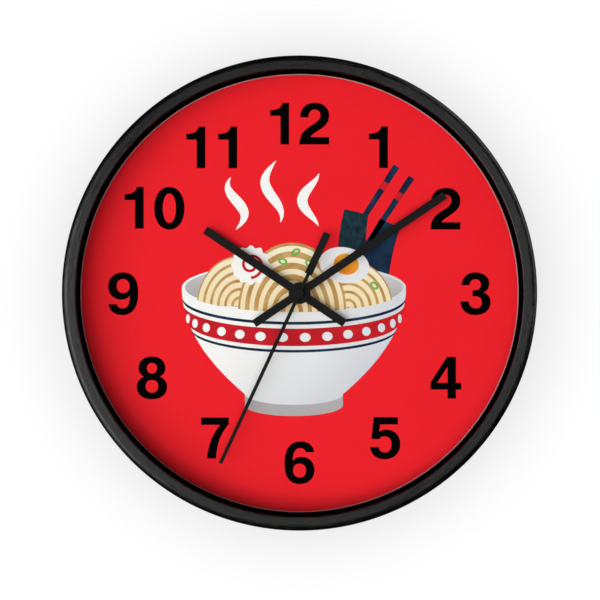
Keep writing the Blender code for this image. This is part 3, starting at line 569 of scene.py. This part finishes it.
def add_frame():
    """The wooden ring: a flat face with a round outer edge and a crisp inner lip."""
    outer = arc((FRAME_RADIUS - OUTER_FILLET, FRAME_FRONT + OUTER_FILLET), OUTER_FILLET, 90, 180, 12)
    lip = (OPENING_RADIUS + INNER_FILLET, FRAME_FRONT + INNER_FILLET)
    inner = arc(lip, INNER_FILLET, 180, 270, 6)
    back = FRAME_BACK - BACK_ROUND
    profile = [
        *arc((FRAME_RADIUS - BACK_ROUND, back), BACK_ROUND, 0, 90, 4),
        *outer,
        *inner,
        (OPENING_RADIUS, REBATE_FRONT),
        (REBATE_RADIUS, REBATE_FRONT),
        *arc((REBATE_RADIUS + BACK_ROUND, back), BACK_ROUND, 270, 360, 3),
    ]
    wood = FINISH["black_wood"]
    ring = add("ring_frame", turned(profile), wood, replaces=["frame_ring"])
    ring.data.materials.append(FINISH["matt_black"])
    for face in ring.data.polygons:
        x, y, z = face.center / MM
        face.material_index = int(math.hypot(x, z) < OPENING_RADIUS + 0.05 and y > lip[1])
    return ring


def add_glazing():
    """The clear lens and the black wall between it and the dial."""
    lens = rounded_ring(0, DISC_RADIUS, *span("lens"), LENS_EDGE)
    lens = add("clear_lens", lens, FINISH["clear_acrylic"], replaces=["lens"])
    lens.visible_diffuse = False
    wall = rounded_ring(OPENING_RADIUS, DISC_RADIUS, *span("spacer_ring"), SPACER_EDGE)
    add("dial_wall", wall, FINISH["matt_black"], replaces=["spacer_ring"])
    return lens


def add_dial():
    """The printed sheet, its thin grey border, and the board behind it."""
    front, back = span("dial_face")
    sheet = rounded_ring(DIAL_HOLE, DISC_RADIUS, front, back, SHEET_EDGE)
    add("dial_sheet", sheet, FINISH["dial_print"], replaces=["dial_face"])
    border = rounded_ring(OPENING_RADIUS - BORDER_WIDTH, OPENING_RADIUS, front - INK, front, INK / 3)
    grey = printed_paper("border_ink", (0.3, 0.26, 0.26), (0.36, 0.32, 0.32))
    add("dial_border", border, grey)
    board = rounded_ring(DIAL_HOLE, DISC_RADIUS, *span("dial_board"), BOARD_EDGE)
    add("backing_board", board, FINISH["hardboard"], replaces=["dial_board"])


SIX = """
    M 378 525 C 371 570 338 596 288 596 C 208 596 168 520 168 378 C 200 424 248 447 308 447
    C 433 447 520 354 520 219 C 520 80 420 -19 278 -19 C 115 -19 31 102 31 333
    C 31 575 122 710 292 710 C 418 710 502 640 514 525 Z
    M 279 333 C 214 333 172 289 172 217 C 172 144 215 94 279 94
    C 342 94 382 141 382 215 C 382 289 342 333 279 333 Z"""
DIGITS = {
    "0": """
    M 278 710 C 424 710 524 564 524 346 C 524 127 424 -19 278 -19 C 132 -19 32 127 32 346
    C 32 564 132 710 278 710 Z
    M 278 598 C 340 598 384 496 384 346 C 384 195 340 93 278 93 C 216 93 172 195 172 346
    C 172 496 216 598 278 598 Z""",
    "1": "M 378 0 L 378 710 L 270 710 C 250 610 170 587 69 585 L 69 487 L 237 487 L 237 0 Z",
    "2": """
    M 26 0 L 511 0 L 511 124 L 207 124 C 230 168 290 206 350 246 C 430 300 511 368 511 490
    C 511 622 415 710 280 710 C 130 710 42 615 40 462 L 176 462 C 178 545 212 594 276 594
    C 333 594 368 553 368 494 C 368 424 313 383 230 330 C 110 253 30 180 26 0 Z""",
    "3": """
    M 27 214 L 163 214 C 166 140 205 96 272 96 C 335 96 374 135 374 196 C 374 268 330 304 250 304
    L 222 304 L 222 404 L 248 404 C 318 404 358 434 358 497 C 358 556 322 594 270 594
    C 210 594 178 556 175 490 L 45 490 C 48 625 135 710 272 710 C 405 710 495 630 495 511
    C 495 438 455 388 402 366 C 468 345 516 286 516 202 C 516 68 415 -19 272 -19
    C 125 -19 30 70 27 214 Z""",
    "4": """
    M 303 0 L 303 152 L 27 152 L 27 277 L 294 710 L 438 710 L 438 268 L 526 268 L 526 152
    L 438 152 L 438 0 Z
    M 303 268 L 303 540 L 134 268 Z""",
    "5": """
    M 84 698 L 478 698 L 478 574 L 190 574 L 171 448 C 200 472 240 487 288 487
    C 425 487 516 385 516 240 C 516 85 415 -19 263 -19 C 125 -19 33 62 27 190 L 166 190
    C 174 130 208 96 262 96 C 331 96 374 150 374 234 C 374 320 332 371 263 371
    C 220 371 190 355 170 322 L 45 328 Z""",
    "6": SIX,
    "7": """
    M 51 574 L 51 698 L 502 698 L 502 588 C 385 450 305 270 294 0 L 145 0 C 160 230 245 430 358 574
    Z""",
    "8": """
    M 278 -19 C 125 -19 32 62 32 196 C 32 276 78 340 150 368 C 92 396 60 446 60 512
    C 60 632 146 710 278 710 C 410 710 496 632 496 512 C 496 446 464 396 406 368
    C 478 340 524 276 524 196 C 524 62 431 -19 278 -19 Z
    M 278 600 C 230 600 197 566 197 512 C 197 456 230 420 278 420 C 326 420 359 456 359 512
    C 359 566 326 600 278 600 Z
    M 278 310 C 215 310 175 268 175 202 C 175 136 215 92 278 92 C 341 92 381 136 381 202
    C 381 268 341 310 278 310 Z""",
}


def digit_loops(digit):
    """A digit's outline and counters in its own units. A nine is a six turned half way round."""
    if digit == "9":
        return [[(DIGIT_WIDTH - x, CAP_HEIGHT - 19 - z) for x, z in loop] for loop in traced(SIX)]
    return traced(DIGITS[digit])


def add_numerals():
    """The twelve upright numerals, printed black."""
    unit = NUMERAL_HEIGHT / CAP_HEIGHT
    front = span("dial_face")[0]
    for number in range(1, 13):
        radius = SIDE_NUMERAL_RADIUS if number in (3, 9) else NUMERAL_RADIUS
        centre = moved(polar(radius, 30 * number), NUMERAL_SHIFTS.get(number, (0, 0)))
        text = str(number)
        width = DIGIT_PITCH * (len(text) - 1) + DIGIT_WIDTH
        bm = bmesh.new()
        for i, digit in enumerate(text):
            left, low = DIGIT_PITCH * i - width / 2, -CAP_HEIGHT / 2
            loops = [
                [moved(centre, ((x + left) * unit * DIGIT_STRETCH, (z + low) * unit)) for x, z in loop]
                for loop in digit_loops(digit)
            ]
            add_plate(bm, loops[0], front - INK, front, loops[1:])
        add(f"numeral_{number}", bm, FINISH["matt_black"])


# ---------------------------------------------------------------- picture on the dial


def printed(name, outlines, layer, material, holes=()):
    """One colour of the picture: flat shapes in a printed layer above the dial."""
    front = span("dial_face")[0] - INK * layer
    bm = bmesh.new()
    for outline in outlines:
        add_plate(bm, outline, front, front + INK, holes)
    return add(name, bm, material)


def past_hole(points):
    """The runs of a line's points that lie outside the dial's central hole."""
    runs = [[]]
    for point in points:
        if math.hypot(*point) > DIAL_HOLE:
            runs[-1].append(point)
        elif runs[-1]:
            runs.append([])
    return [run for run in runs if len(run) > 1]


def out_of_hole(outline):
    """An outline whose points in the dial's central hole are moved out to its edge."""
    shares = [max(DIAL_HOLE / math.hypot(*point), 1.0) for point in outline]
    return [(x * share, z * share) for (x, z), share in zip(outline, shares)]


def bowl_point(depth, turn, lift=0.0):
    """A point on the bowl's front, at a depth below its rim; turn goes from 0, right, to 180, left."""
    radius = BOWL_RADIUS * (1 - (depth / BOWL_POINT) ** 2) + lift
    x, z = radius * math.cos(math.radians(turn)), radius * math.sin(math.radians(turn))
    return moved(BOWL_CENTRE, (x, -depth - BOWL_TILT * z))


def bowl_band(high, low, steps=48):
    """The bowl's front between two depths."""
    turns = [180 * i / steps for i in range(steps + 1)]
    depths = [high + (low - high) * i / steps for i in range(1, steps)]
    top = [bowl_point(high, turn) for turn in turns]
    left = [bowl_point(depth, 180) for depth in depths]
    bottom = [bowl_point(low, turn) for turn in reversed(turns)]
    right = [bowl_point(depth, 0) for depth in reversed(depths)]
    return top + left + bottom + right


def add_bowl():
    """A white bowl with a red band of pearls between navy lines."""
    lit, shaded = (0.9, 0.89, 0.86), (0.5, 0.53, 0.6)
    white = printed_paper("glaze_ink", lit, shaded, sweep=((0.75, -0.66), -10, 78))
    lit, shaded = (0.7, 0.68, 0.66), (0.42, 0.4, 0.4)
    shade = printed_paper("bowl_inside_ink", shaded, lit, sweep=((0, 1), 0, 18))
    navy = printed_paper("navy_ink", (0.003, 0.008, 0.022), (0.012, 0.04, 0.09), cloud_size=9.0)
    red = printed_paper("deep_red_ink", (0.42, 0.008, 0.014), (0.6, 0.012, 0.022), cloud_size=14.0)
    rim = oval(BOWL_CENTRE, BOWL_RADIUS, BOWL_RADIUS * BOWL_TILT)
    inside = oval(BOWL_CENTRE, BOWL_RADIUS - 1.6, (BOWL_RADIUS - 1.6) * BOWL_TILT - 0.6)
    hole = circle(DIAL_HOLE)
    printed("bowl_rim", [rim], 3, white, [hole])
    printed("bowl_inside", [inside], 4, shade, [hole])
    foot = [bowl_point(BOWL_DEPTH, turn) for turn in range(0, 181, 6)]
    foot += [moved(point, (0, -6)) for point in reversed(foot)]
    printed("bowl_foot", [foot], 10, shade)
    printed("bowl_body", [bowl_band(0, BOWL_DEPTH)], 11, white)
    printed("bowl_band", [bowl_band(9, 19)], 12, red)
    printed("bowl_lines", [bowl_band(5.2, 6.8), bowl_band(21.2, 22.8)], 12, navy)
    pearls = []
    for turn in range(12, 180, 12):
        face = math.sin(math.radians(turn))
        pearls.append(oval(bowl_point(14, turn), 2.4 * face + 0.5, 2.4, steps=24))
    printed("bowl_pearls", pearls, 13, white)
    return white, navy, red


def skein_arc(centre, width, height):
    """The top half of an ellipse, from left to right, as points."""
    return [moved(centre, (x * width, z * height)) for x, z in arc((0, 0), 1, -90, 90, 36)]


def add_noodles():
    """Three overlapping skeins of noodles, each a shaded mound with strands that arch over it."""
    pale = printed_paper("noodle_ink", (0.86, 0.7, 0.42), (0.9, 0.82, 0.6), sweep=((0, 1), -8, 26))
    dark = printed_paper("noodle_shade_ink", (0.42, 0.22, 0.06), (0.6, 0.38, 0.14), cloud_size=6.0)
    skeins = (((-32, -7), 23, 27), ((26, -8), 24, 26), ((-4, -10), 29, 37))
    for i, (centre, width, height) in enumerate(skeins):
        layer = 5 + 2 * i
        holes = [circle(DIAL_HOLE)] if i == len(skeins) - 1 else ()
        printed(f"noodle_mound_{i + 1}", [skein_arc(centre, width, height)], layer, dark, holes)
        strands = []
        for strand in range(NOODLES):
            share = 1 - (strand + 0.5) / NOODLES
            middle = skein_arc(centre, width * share, height * share)
            for run in past_hole(middle):
                outline = stroke(run, lambda along: 2.4 + 0.5 * math.sin(math.pi * along))
                strands.append(out_of_hole(outline))
        printed(f"noodles_{i + 1}", strands, layer + 1, pale)


def add_toppings(white, navy, red):
    """Half an egg, two sheets of seaweed, spring onions and a fish cake with a spiral."""
    yolk = printed_paper("yolk_ink", (0.8, 0.22, 0.012), (0.92, 0.4, 0.03), cloud_size=7.0)
    green = printed_paper("spring_onion_ink", (0.1, 0.35, 0.05), (0.2, 0.5, 0.1), cloud_size=5.0)
    weed = printed_paper("seaweed_ink", (0.004, 0.014, 0.022), (0.014, 0.045, 0.06), cloud_size=3.0)
    sheets = (
        "M 30 4 C 33 18 37 30 43 40 L 54 35 C 50 25 48 12 47 2 Z",
        "M 20 8 C 20 22 21 34 24 45 L 37 42 C 35 31 35 18 36 6 Z",
    )
    for i, sheet in enumerate(sheets):
        printed(f"seaweed_{i + 1}", traced(sheet), 1 + i, (navy, weed)[i])
    printed("egg_white", [oval((24, 15), 13.5, 9.5, 12)], 11, white)
    printed("egg_yolk", [oval((25, 15.5), 6.8, 5.6, 12)], 12, yolk)
    wavy = []
    for i in range(72):
        turn = 360 * i / 72
        wavy.append(moved((-26, 15), polar(10 + 0.7 * math.cos(math.radians(12 * turn)), turn)))
    printed("fish_cake", [wavy], 11, white)
    spiral = [moved((-26, 15), polar(1.2 + 5.6 * i / 60, 9 * i)) for i in range(61)]
    printed("fish_cake_spiral", [stroke(spiral, lambda along: 1.5)], 12, red)
    bm = bmesh.new()
    front = span("dial_face")[0] - 11 * INK
    for x, z, lean in ((-9, 17, 20), (-2, 22, -30), (5, 16, 60), (-12, 8, 75), (9, 6, 10), (40, 4, 40)):
        ring, hole = oval((x, z), 2.6, 1.8, lean, 24), oval((x, z), 1.3, 0.8, lean, 24)
        add_plate(bm, ring, front, front + INK, [hole])
    add("spring_onions", bm, green)


def add_sticks(navy, red):
    """Two chopsticks that stand in the bowl behind the noodles, each with a collar."""
    for i, (foot, top) in enumerate((((12, 6), (52, 68)), ((20, 2), (60, 62)))):
        stick, collar = (
            [tuple(a + (b - a) * share for a, b in zip(foot, top)) for share in shares]
            for shares in ((0, 0.25, 0.5, 0.75, 1), (0.8, 0.86))
        )
        printed(f"chopstick_{i + 1}", [stroke(stick, lambda along: 2.2 + 1.4 * along)], 1, navy)
        printed(f"chopstick_collar_{i + 1}", [stroke(collar, lambda along: 3.5)], 2, red)


def add_steam(white):
    """Three wisps of steam."""
    for i, (x, low, high) in enumerate(((-34, 34, 62), (-14, 38, 71), (6, 36, 64))):
        shares = [step / 32 for step in range(33)]
        line = [(x + 4.5 * math.sin(5.6 * t + i), low + (high - low) * t) for t in shares]
        wisp = stroke(line, lambda along: 0.3 + 5.2 * math.sin(math.pi * along))
        printed(f"steam_{i + 1}", [wisp], 1, white)


# ---------------------------------------------------------------- hands


def bar_hand(hand):
    """A straight bar with a round hub, pointing to twelve o'clock, as an outline and its hole."""
    half, hub = hand["width"] / 2, hand["hub"]
    clear = math.degrees(math.asin(half / hub))
    outline = [(-half, hand["tip"]), (half, hand["tip"])]
    outline += arc((0, 0), hub, clear, 180 - clear, 24)
    outline += [(half, -hand["tail"]), (-half, -hand["tail"])]
    outline += arc((0, 0), hub, 180 + clear, 360 - clear, 24)
    return outline, circle(hand["hole"], 32)


def second_hand_outline():
    """The thin hand with its wide counterweight behind the axis, and its hole."""
    outline, hole = bar_hand({**SECOND_HAND, "tail": COUNTERWEIGHT_START})
    half, wide = SECOND_HAND["width"] / 2, COUNTERWEIGHT_WIDTH / 2
    start, end = -COUNTERWEIGHT_START, -SECOND_HAND["tail"]
    at = outline.index((half, start)) + 1
    weight = [(wide, start), (wide, end), (-wide, end), (-wide, start)]
    return outline[:at] + weight + outline[at:], hole


def add_hand(name, body, hand, outline, hole):
    """A pressed hand with softened edges."""
    bar = plate(outline, *span(name), [hole])
    add(
        f"{name}_bar", bar, FINISH["hand_black"], body, [name], HAND_EDGE, hand["angle"]
    )


def add_hands():
    """The three hands, with the brass collets of two of them, the nut and the second hand's cap."""
    add_hand("hour_hand", "hour_train", HOUR_HAND, *bar_hand(HOUR_HAND))
    add_hand("minute_hand", "minute_train", MINUTE_HAND, *bar_hand(MINUTE_HAND))
    add_hand("second_hand", "second_train", SECOND_HAND, *second_hand_outline())
    for name, body, hand, depth in (
        ("hour_collet", "hour_train", HOUR_HAND, 0.2),
        ("minute_collet", "minute_train", MINUTE_HAND, 0.6),
    ):
        back = span(name.replace("collet", "hand"))[1]
        bore = hand["hole"]
        collet = rounded_ring(bore, bore + COLLET_WALL, back, back + depth, depth / 5, TUBE_STEPS)
        add(name, collet, FINISH["brass"], body)

    front, back = span("minute_nut")
    edge, outer = 0.2, half_width("minute_nut")
    nut = rounded_ring(MINUTE_HAND["hole"], outer, front, back, edge, TUBE_STEPS)
    add("hand_nut", nut, FINISH["hand_black"], "minute_train", ["minute_nut"])

    front, back = span("second_hand_boss")
    head, stem, bore = half_width("second_hand_boss"), 1.2, 0.8
    shoulder, lid, floor = 0.35, front + 0.5, front + 0.6
    profile = [
        (0, front),
        *arc((head - shoulder, front + shoulder), shoulder, 180, 90, 5),
        (head, lid),
        (stem, lid),
        (stem, back),
        (bore, back),
        (bore, floor),
        (0, floor),
    ]
    cap = turned(profile, TUBE_STEPS, closed=False)
    paint = FINISH["hand_black"]
    add("second_hand_cap", cap, paint, "second_train", ["second_hand_boss"])


# ---------------------------------------------------------------- back of the clock


def along_x(bm):
    """Lay a piece that was turned about Y along X."""
    bmesh.ops.rotate(bm, cent=(0, 0, 0), matrix=Matrix.Rotation(-math.pi / 2, 3, "Z"), verts=bm.verts)
    return bm


def add_battery():
    """The cell: a wrapped body with its folded ends, a steel cap and a steel base."""
    low, high = (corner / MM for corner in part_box("aa_battery"))
    centre = (low + high) / 2 - AXIS / MM
    radius, terminal = (high.y - low.y) / 2, 1.5
    left, right = low.x, high.x - terminal
    fold, bend, film, mouth, inside = 1.4, 0.6, 0.15, 1.6, 0.8
    wrap = [
        (radius - fold, left + film),
        (radius - fold, left),
        *arc((radius - bend, left + bend), bend, 180, 90, 5),
        *arc((radius - bend, right - bend), bend, 90, 0, 5),
        (radius - mouth, right),
        (radius - mouth, right - film),
        (radius - inside, right - inside),
        (radius - inside, left + inside),
    ]
    rim, step, dip, button, top_round = radius - 1.0, 0.2, 0.7, 2.4, 0.3
    cap = [
        (0, right - dip),
        (rim, right - dip),
        (radius - 1.9, right - step),
        (button + 1.0, right - step),
        (button + 0.5, right + 0.1),
        *arc((button, right + terminal - top_round), top_round, 90, 0, 4),
        (0, right + terminal),
    ]
    base = [
        (0, left + dip),
        (rim, left + dip),
        (radius - mouth, left + step),
        (button + 0.8, left + step),
        (button + 0.4, left + 0.05),
        (0, left + 0.05),
    ]
    parts = (
        ("cell_wrap", turned(wrap, TUBE_STEPS), "cell_wrap"),
        ("cell_cap", turned(cap, TUBE_STEPS, closed=False), "steel"),
        ("cell_base", turned(base, TUBE_STEPS, closed=False), "steel"),
    )
    for name, bm, slot in parts:
        along_x(bm)
        bmesh.ops.translate(bm, vec=(0, centre.y, centre.z), verts=bm.verts)
        add(name, bm, FINISH[slot], replaces=["aa_battery"])


def centre_of(node):
    """The middle of a CAD node, as (x, z) from the hand axis in millimetres."""
    low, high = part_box(node)
    middle = ((low + high) / 2 - AXIS) / MM
    return middle.x, middle.z


def plus_outline(arm, half):
    """A plus sign, from the length and the half width of its arms."""
    points, quarter = [], [(half, arm), (half, half), (arm, half)]
    for _ in range(4):
        points += quarter
        quarter = [(z, -x) for x, z in quarter]
    return points


def add_case_marks():
    """Raised marks on the movement's cover: the cell's polarity and the ways the knob turns."""
    cover = span("movement_cover")[1]
    cell_x, cell_z = centre_of("aa_battery")
    arm, half = SIGN_SIZE
    minus = [(-arm, -half), (arm, -half), (arm, half), (-arm, half)]
    bm = bmesh.new()
    for outline, side in ((plus_outline(arm, half), 1), (minus, -1)):
        centre = (cell_x + side * SIGN_REACH, cell_z + SIGN_RISE)
        add_plate(bm, [moved(centre, point) for point in outline], cover, cover + RAISED)
    knob = centre_of("setting_knob")
    for start, end in ARROW_TURNS:
        curve = stroke(arc(knob, ARROW_RADIUS, start, end, 16), lambda along: ARROW_WIDTH)
        add_plate(bm, curve, cover, cover + RAISED)
        tip = end + math.copysign(ARROW_HEAD, end - start)
        corners = (ARROW_RADIUS - 1.2, end), (ARROW_RADIUS + 1.2, end), (ARROW_RADIUS, tip)
        head = [moved(knob, polar(*corner)) for corner in corners]
        add_plate(bm, head, cover, cover + RAISED)
    add("cover_marks", bm, FINISH["case_plastic"])


def add_knob_cap():
    """A low cap over the knob's bore, with an index bar from it to the knob's rim."""
    back = span("setting_knob")[1]
    x, z = centre_of("setting_knob")
    radius, rise, edge = 2.2, 0.3, 0.1
    start, end, half, bar_rise = 2.5, 4.8, 0.35, 0.25
    bm = rounded_ring(0, radius, back, back + rise, edge, TUBE_STEPS)
    bar = [(-half, start), (half, start), (half, end), (-half, end)]
    add_plate(bm, bar, back, back + bar_rise)
    bmesh.ops.translate(bm, vec=(x, 0, z), verts=bm.verts)
    add("knob_cap", bm, FINISH["case_plastic"], "motion")


def dress_nodes():
    """Give the CAD nodes that stay in view their finishes, and round their edges."""
    edges = {
        "movement_case": 0.35,
        "movement_cover": 0.25,
        "setting_knob": 0.12,
        "hanger_plate": 0.12,
        "contact_positive": 0.08,
        "contact_negative": 0.06,
        "hex_nut": 0.15,
        "threaded_bushing": 0.1,
        "flat_washer": 0.08,
    }
    for name, node in frame["nodes"].items():
        node.data.materials[0] = FINISH[node.data.materials[0].name.split(".")[0]]
        width = edges.get(name)
        if name.startswith("board_clip"):
            width = 0.15
        if name.startswith(("clip_screw", "hanger_screw")):
            width = 0.08
        if width:
            soften(node, width)


# ---------------------------------------------------------------- wall, light and camera


CAMERA_DISTANCE = 0.772  # from the frame's front
CAMERA_OFFSET = (0.00026, -0.00366)  # right of and above the hand axis
CAMERA_LENS = 88.44
WALL_GAP = 0.0015
WALL_SIZE = 1.2


def add_wall_plane():
    """A pale wall just behind the clock, seen from the front only. It glows with painted light, and a
    painted shadow halo darkens it near the clock.
    """
    bm = bmesh.new()
    bmesh.ops.create_grid(bm, x_segments=1, y_segments=1, size=WALL_SIZE)
    bmesh.ops.rotate(bm, cent=(0, 0, 0), matrix=Matrix.Rotation(math.pi / 2, 3, "X"), verts=bm.verts)
    mesh = bpy.data.meshes.new("wall")
    bm.to_mesh(mesh)
    bm.free()
    wall = bpy.data.objects.new("wall", mesh)
    wall.location = (0, WALL_GAP, AXIS.z)
    bpy.context.scene.collection.objects.link(wall)
    wall.visible_shadow = wall.visible_diffuse = wall.visible_glossy = False
    wall.visible_transmission = False

    finish = Finish("wall", Specular_IOR_Level=0.0, Base_Color=(0.05, 0.05, 0.05, 1), Roughness=1.0)
    links, output = finish.tree.links, finish.tree.nodes["Material Output"]
    # Painted light and shade: the wall's emission stands in for the light on it. Ambient occlusion
    # lowers that emission to paint a soft shadow halo round the clock.
    near = finish.node("AmbientOcclusion", {"Distance": 0.1}, samples=16).outputs["AO"]
    painted_light_and_halo_shade = finish.spread(near, 0.74, 1.0, 0.5, 1.0)
    links.new(painted_light_and_halo_shade, finish.shader.inputs["Emission Strength"])
    finish.shader.inputs["Emission Color"].default_value = (1, 1, 1, 1)
    mix = finish.node("MixShader", {0: finish.node("NewGeometry").outputs["Backfacing"]})
    links.new(finish.shader.outputs[0], mix.inputs[1])
    links.new(finish.node("BsdfTransparent").outputs[0], mix.inputs[2])
    links.new(mix.outputs[0], output.inputs["Surface"])
    mesh.materials.append(finish.material)


def add_softbox(name, direction, tilt, distance, width, height, power, behind=False):
    """A light that faces the clock, from a clock direction and a tilt off the dial's normal. Its
    height runs along the tilt."""
    x, z = polar(math.sin(math.radians(tilt)), direction)
    y = math.cos(math.radians(tilt))
    backward = Vector((x, y if behind else -y, z))
    side = backward.cross(Vector(polar(1, direction)).to_3d().xzy).normalized()
    data = bpy.data.lights.new(name, "AREA")
    data.shape = "RECTANGLE"
    data.size, data.size_y = width, height
    data.energy = power
    light = bpy.data.objects.new(name, data)
    turn = Matrix((side, backward.cross(side), backward)).transposed().to_4x4()
    light.matrix_world = Matrix.Translation(AXIS + distance * backward) @ turn
    bpy.context.scene.collection.objects.link(light)
    return light


def keep_off(light, piece):
    """Keep a light off one piece."""
    receivers = bpy.data.collections.new(f"{light.name}_receivers")
    receivers.objects.link(piece)
    light.light_linking.receiver_collection = receivers
    receivers.collection_objects[0].light_linking.link_state = "EXCLUDE"


def add_lights(lens, ring):
    """A large softbox from the lower left and a fill in front, a glossy light each for the ring's
    face and its side, and three lights for the back."""
    key = add_softbox("key", 256, 42.0, 8.0, 7.0, 7.2, 560)
    fill = add_softbox("fill", 203, 15.0, 8.0, 5.0, 5.0, 315)
    front = add_softbox("front", 90, 10, 3.0, 1.6, 1.6, 10.0)
    back_right = add_softbox("back_right", 100, 40, 1.3, 0.9, 0.9, 3.5, behind=True)
    back_left = add_softbox("back_left", 300, 40, 1.3, 0.9, 0.9, 10.0, behind=True)
    back_fill = add_softbox("back_fill", 0, 20, 1.6, 1.6, 1.6, 22.0, behind=True)
    side = add_softbox("side", 62, 88, 1.6, 2.4, 0.6, 11.0, behind=True)
    fill.visible_transmission = False
    for light in (fill, back_fill):
        light.visible_glossy = False
    for light in (front, side):
        light.visible_diffuse = False
    for light, piece in ((key, lens), (front, lens), (back_right, ring), (back_left, ring)):
        keep_off(light, piece)


def add_world():
    """Pale where the camera sees it, black in reflections, and dim for the light it gives."""
    world = bpy.data.worlds.new("studio")
    world.use_nodes = True
    nodes, links = world.node_tree.nodes, world.node_tree.links
    nodes.clear()
    path = nodes.new("ShaderNodeLightPath")
    shown = None
    for ray, level in ((None, 0.15), ("Is Glossy Ray", 0.0), ("Is Camera Ray", 1.0)):
        background = nodes.new("ShaderNodeBackground")
        background.inputs["Color"].default_value = (1, 1, 1, 1)
        background.inputs["Strength"].default_value = level
        if ray is None:
            shown = background.outputs[0]
            continue
        mix = nodes.new("ShaderNodeMixShader")
        links.new(path.outputs[ray], mix.inputs[0])
        links.new(shown, mix.inputs[1])
        links.new(background.outputs[0], mix.inputs[2])
        shown = mix.outputs[0]
    links.new(shown, nodes.new("ShaderNodeOutputWorld").inputs["Surface"])
    bpy.context.scene.world = world


def add_camera():
    """Straight in front of the dial."""
    data = bpy.data.cameras.new("camera")
    data.lens = CAMERA_LENS
    data.clip_start = 0.05
    camera = bpy.data.objects.new("camera", data)
    right, up = CAMERA_OFFSET
    camera.location = (AXIS.x + right, FRAME_FRONT * MM - CAMERA_DISTANCE, AXIS.z + up)
    camera.rotation_euler = (math.pi / 2, 0, 0)
    bpy.context.scene.collection.objects.link(camera)
    bpy.context.scene.camera = camera
    bpy.context.scene.view_settings.view_transform = "Standard"


FINISH = make_finishes()

add_camera()
ring = add_frame()
lens = add_glazing()
add_dial()
add_numerals()
inks = add_bowl()
add_noodles()
add_toppings(*inks)
add_sticks(*inks[1:])
add_steam(inks[0])
add_hands()
add_battery()
add_case_marks()
add_knob_cap()
dress_nodes()
add_wall_plane()
add_lights(lens, ring)
add_world()
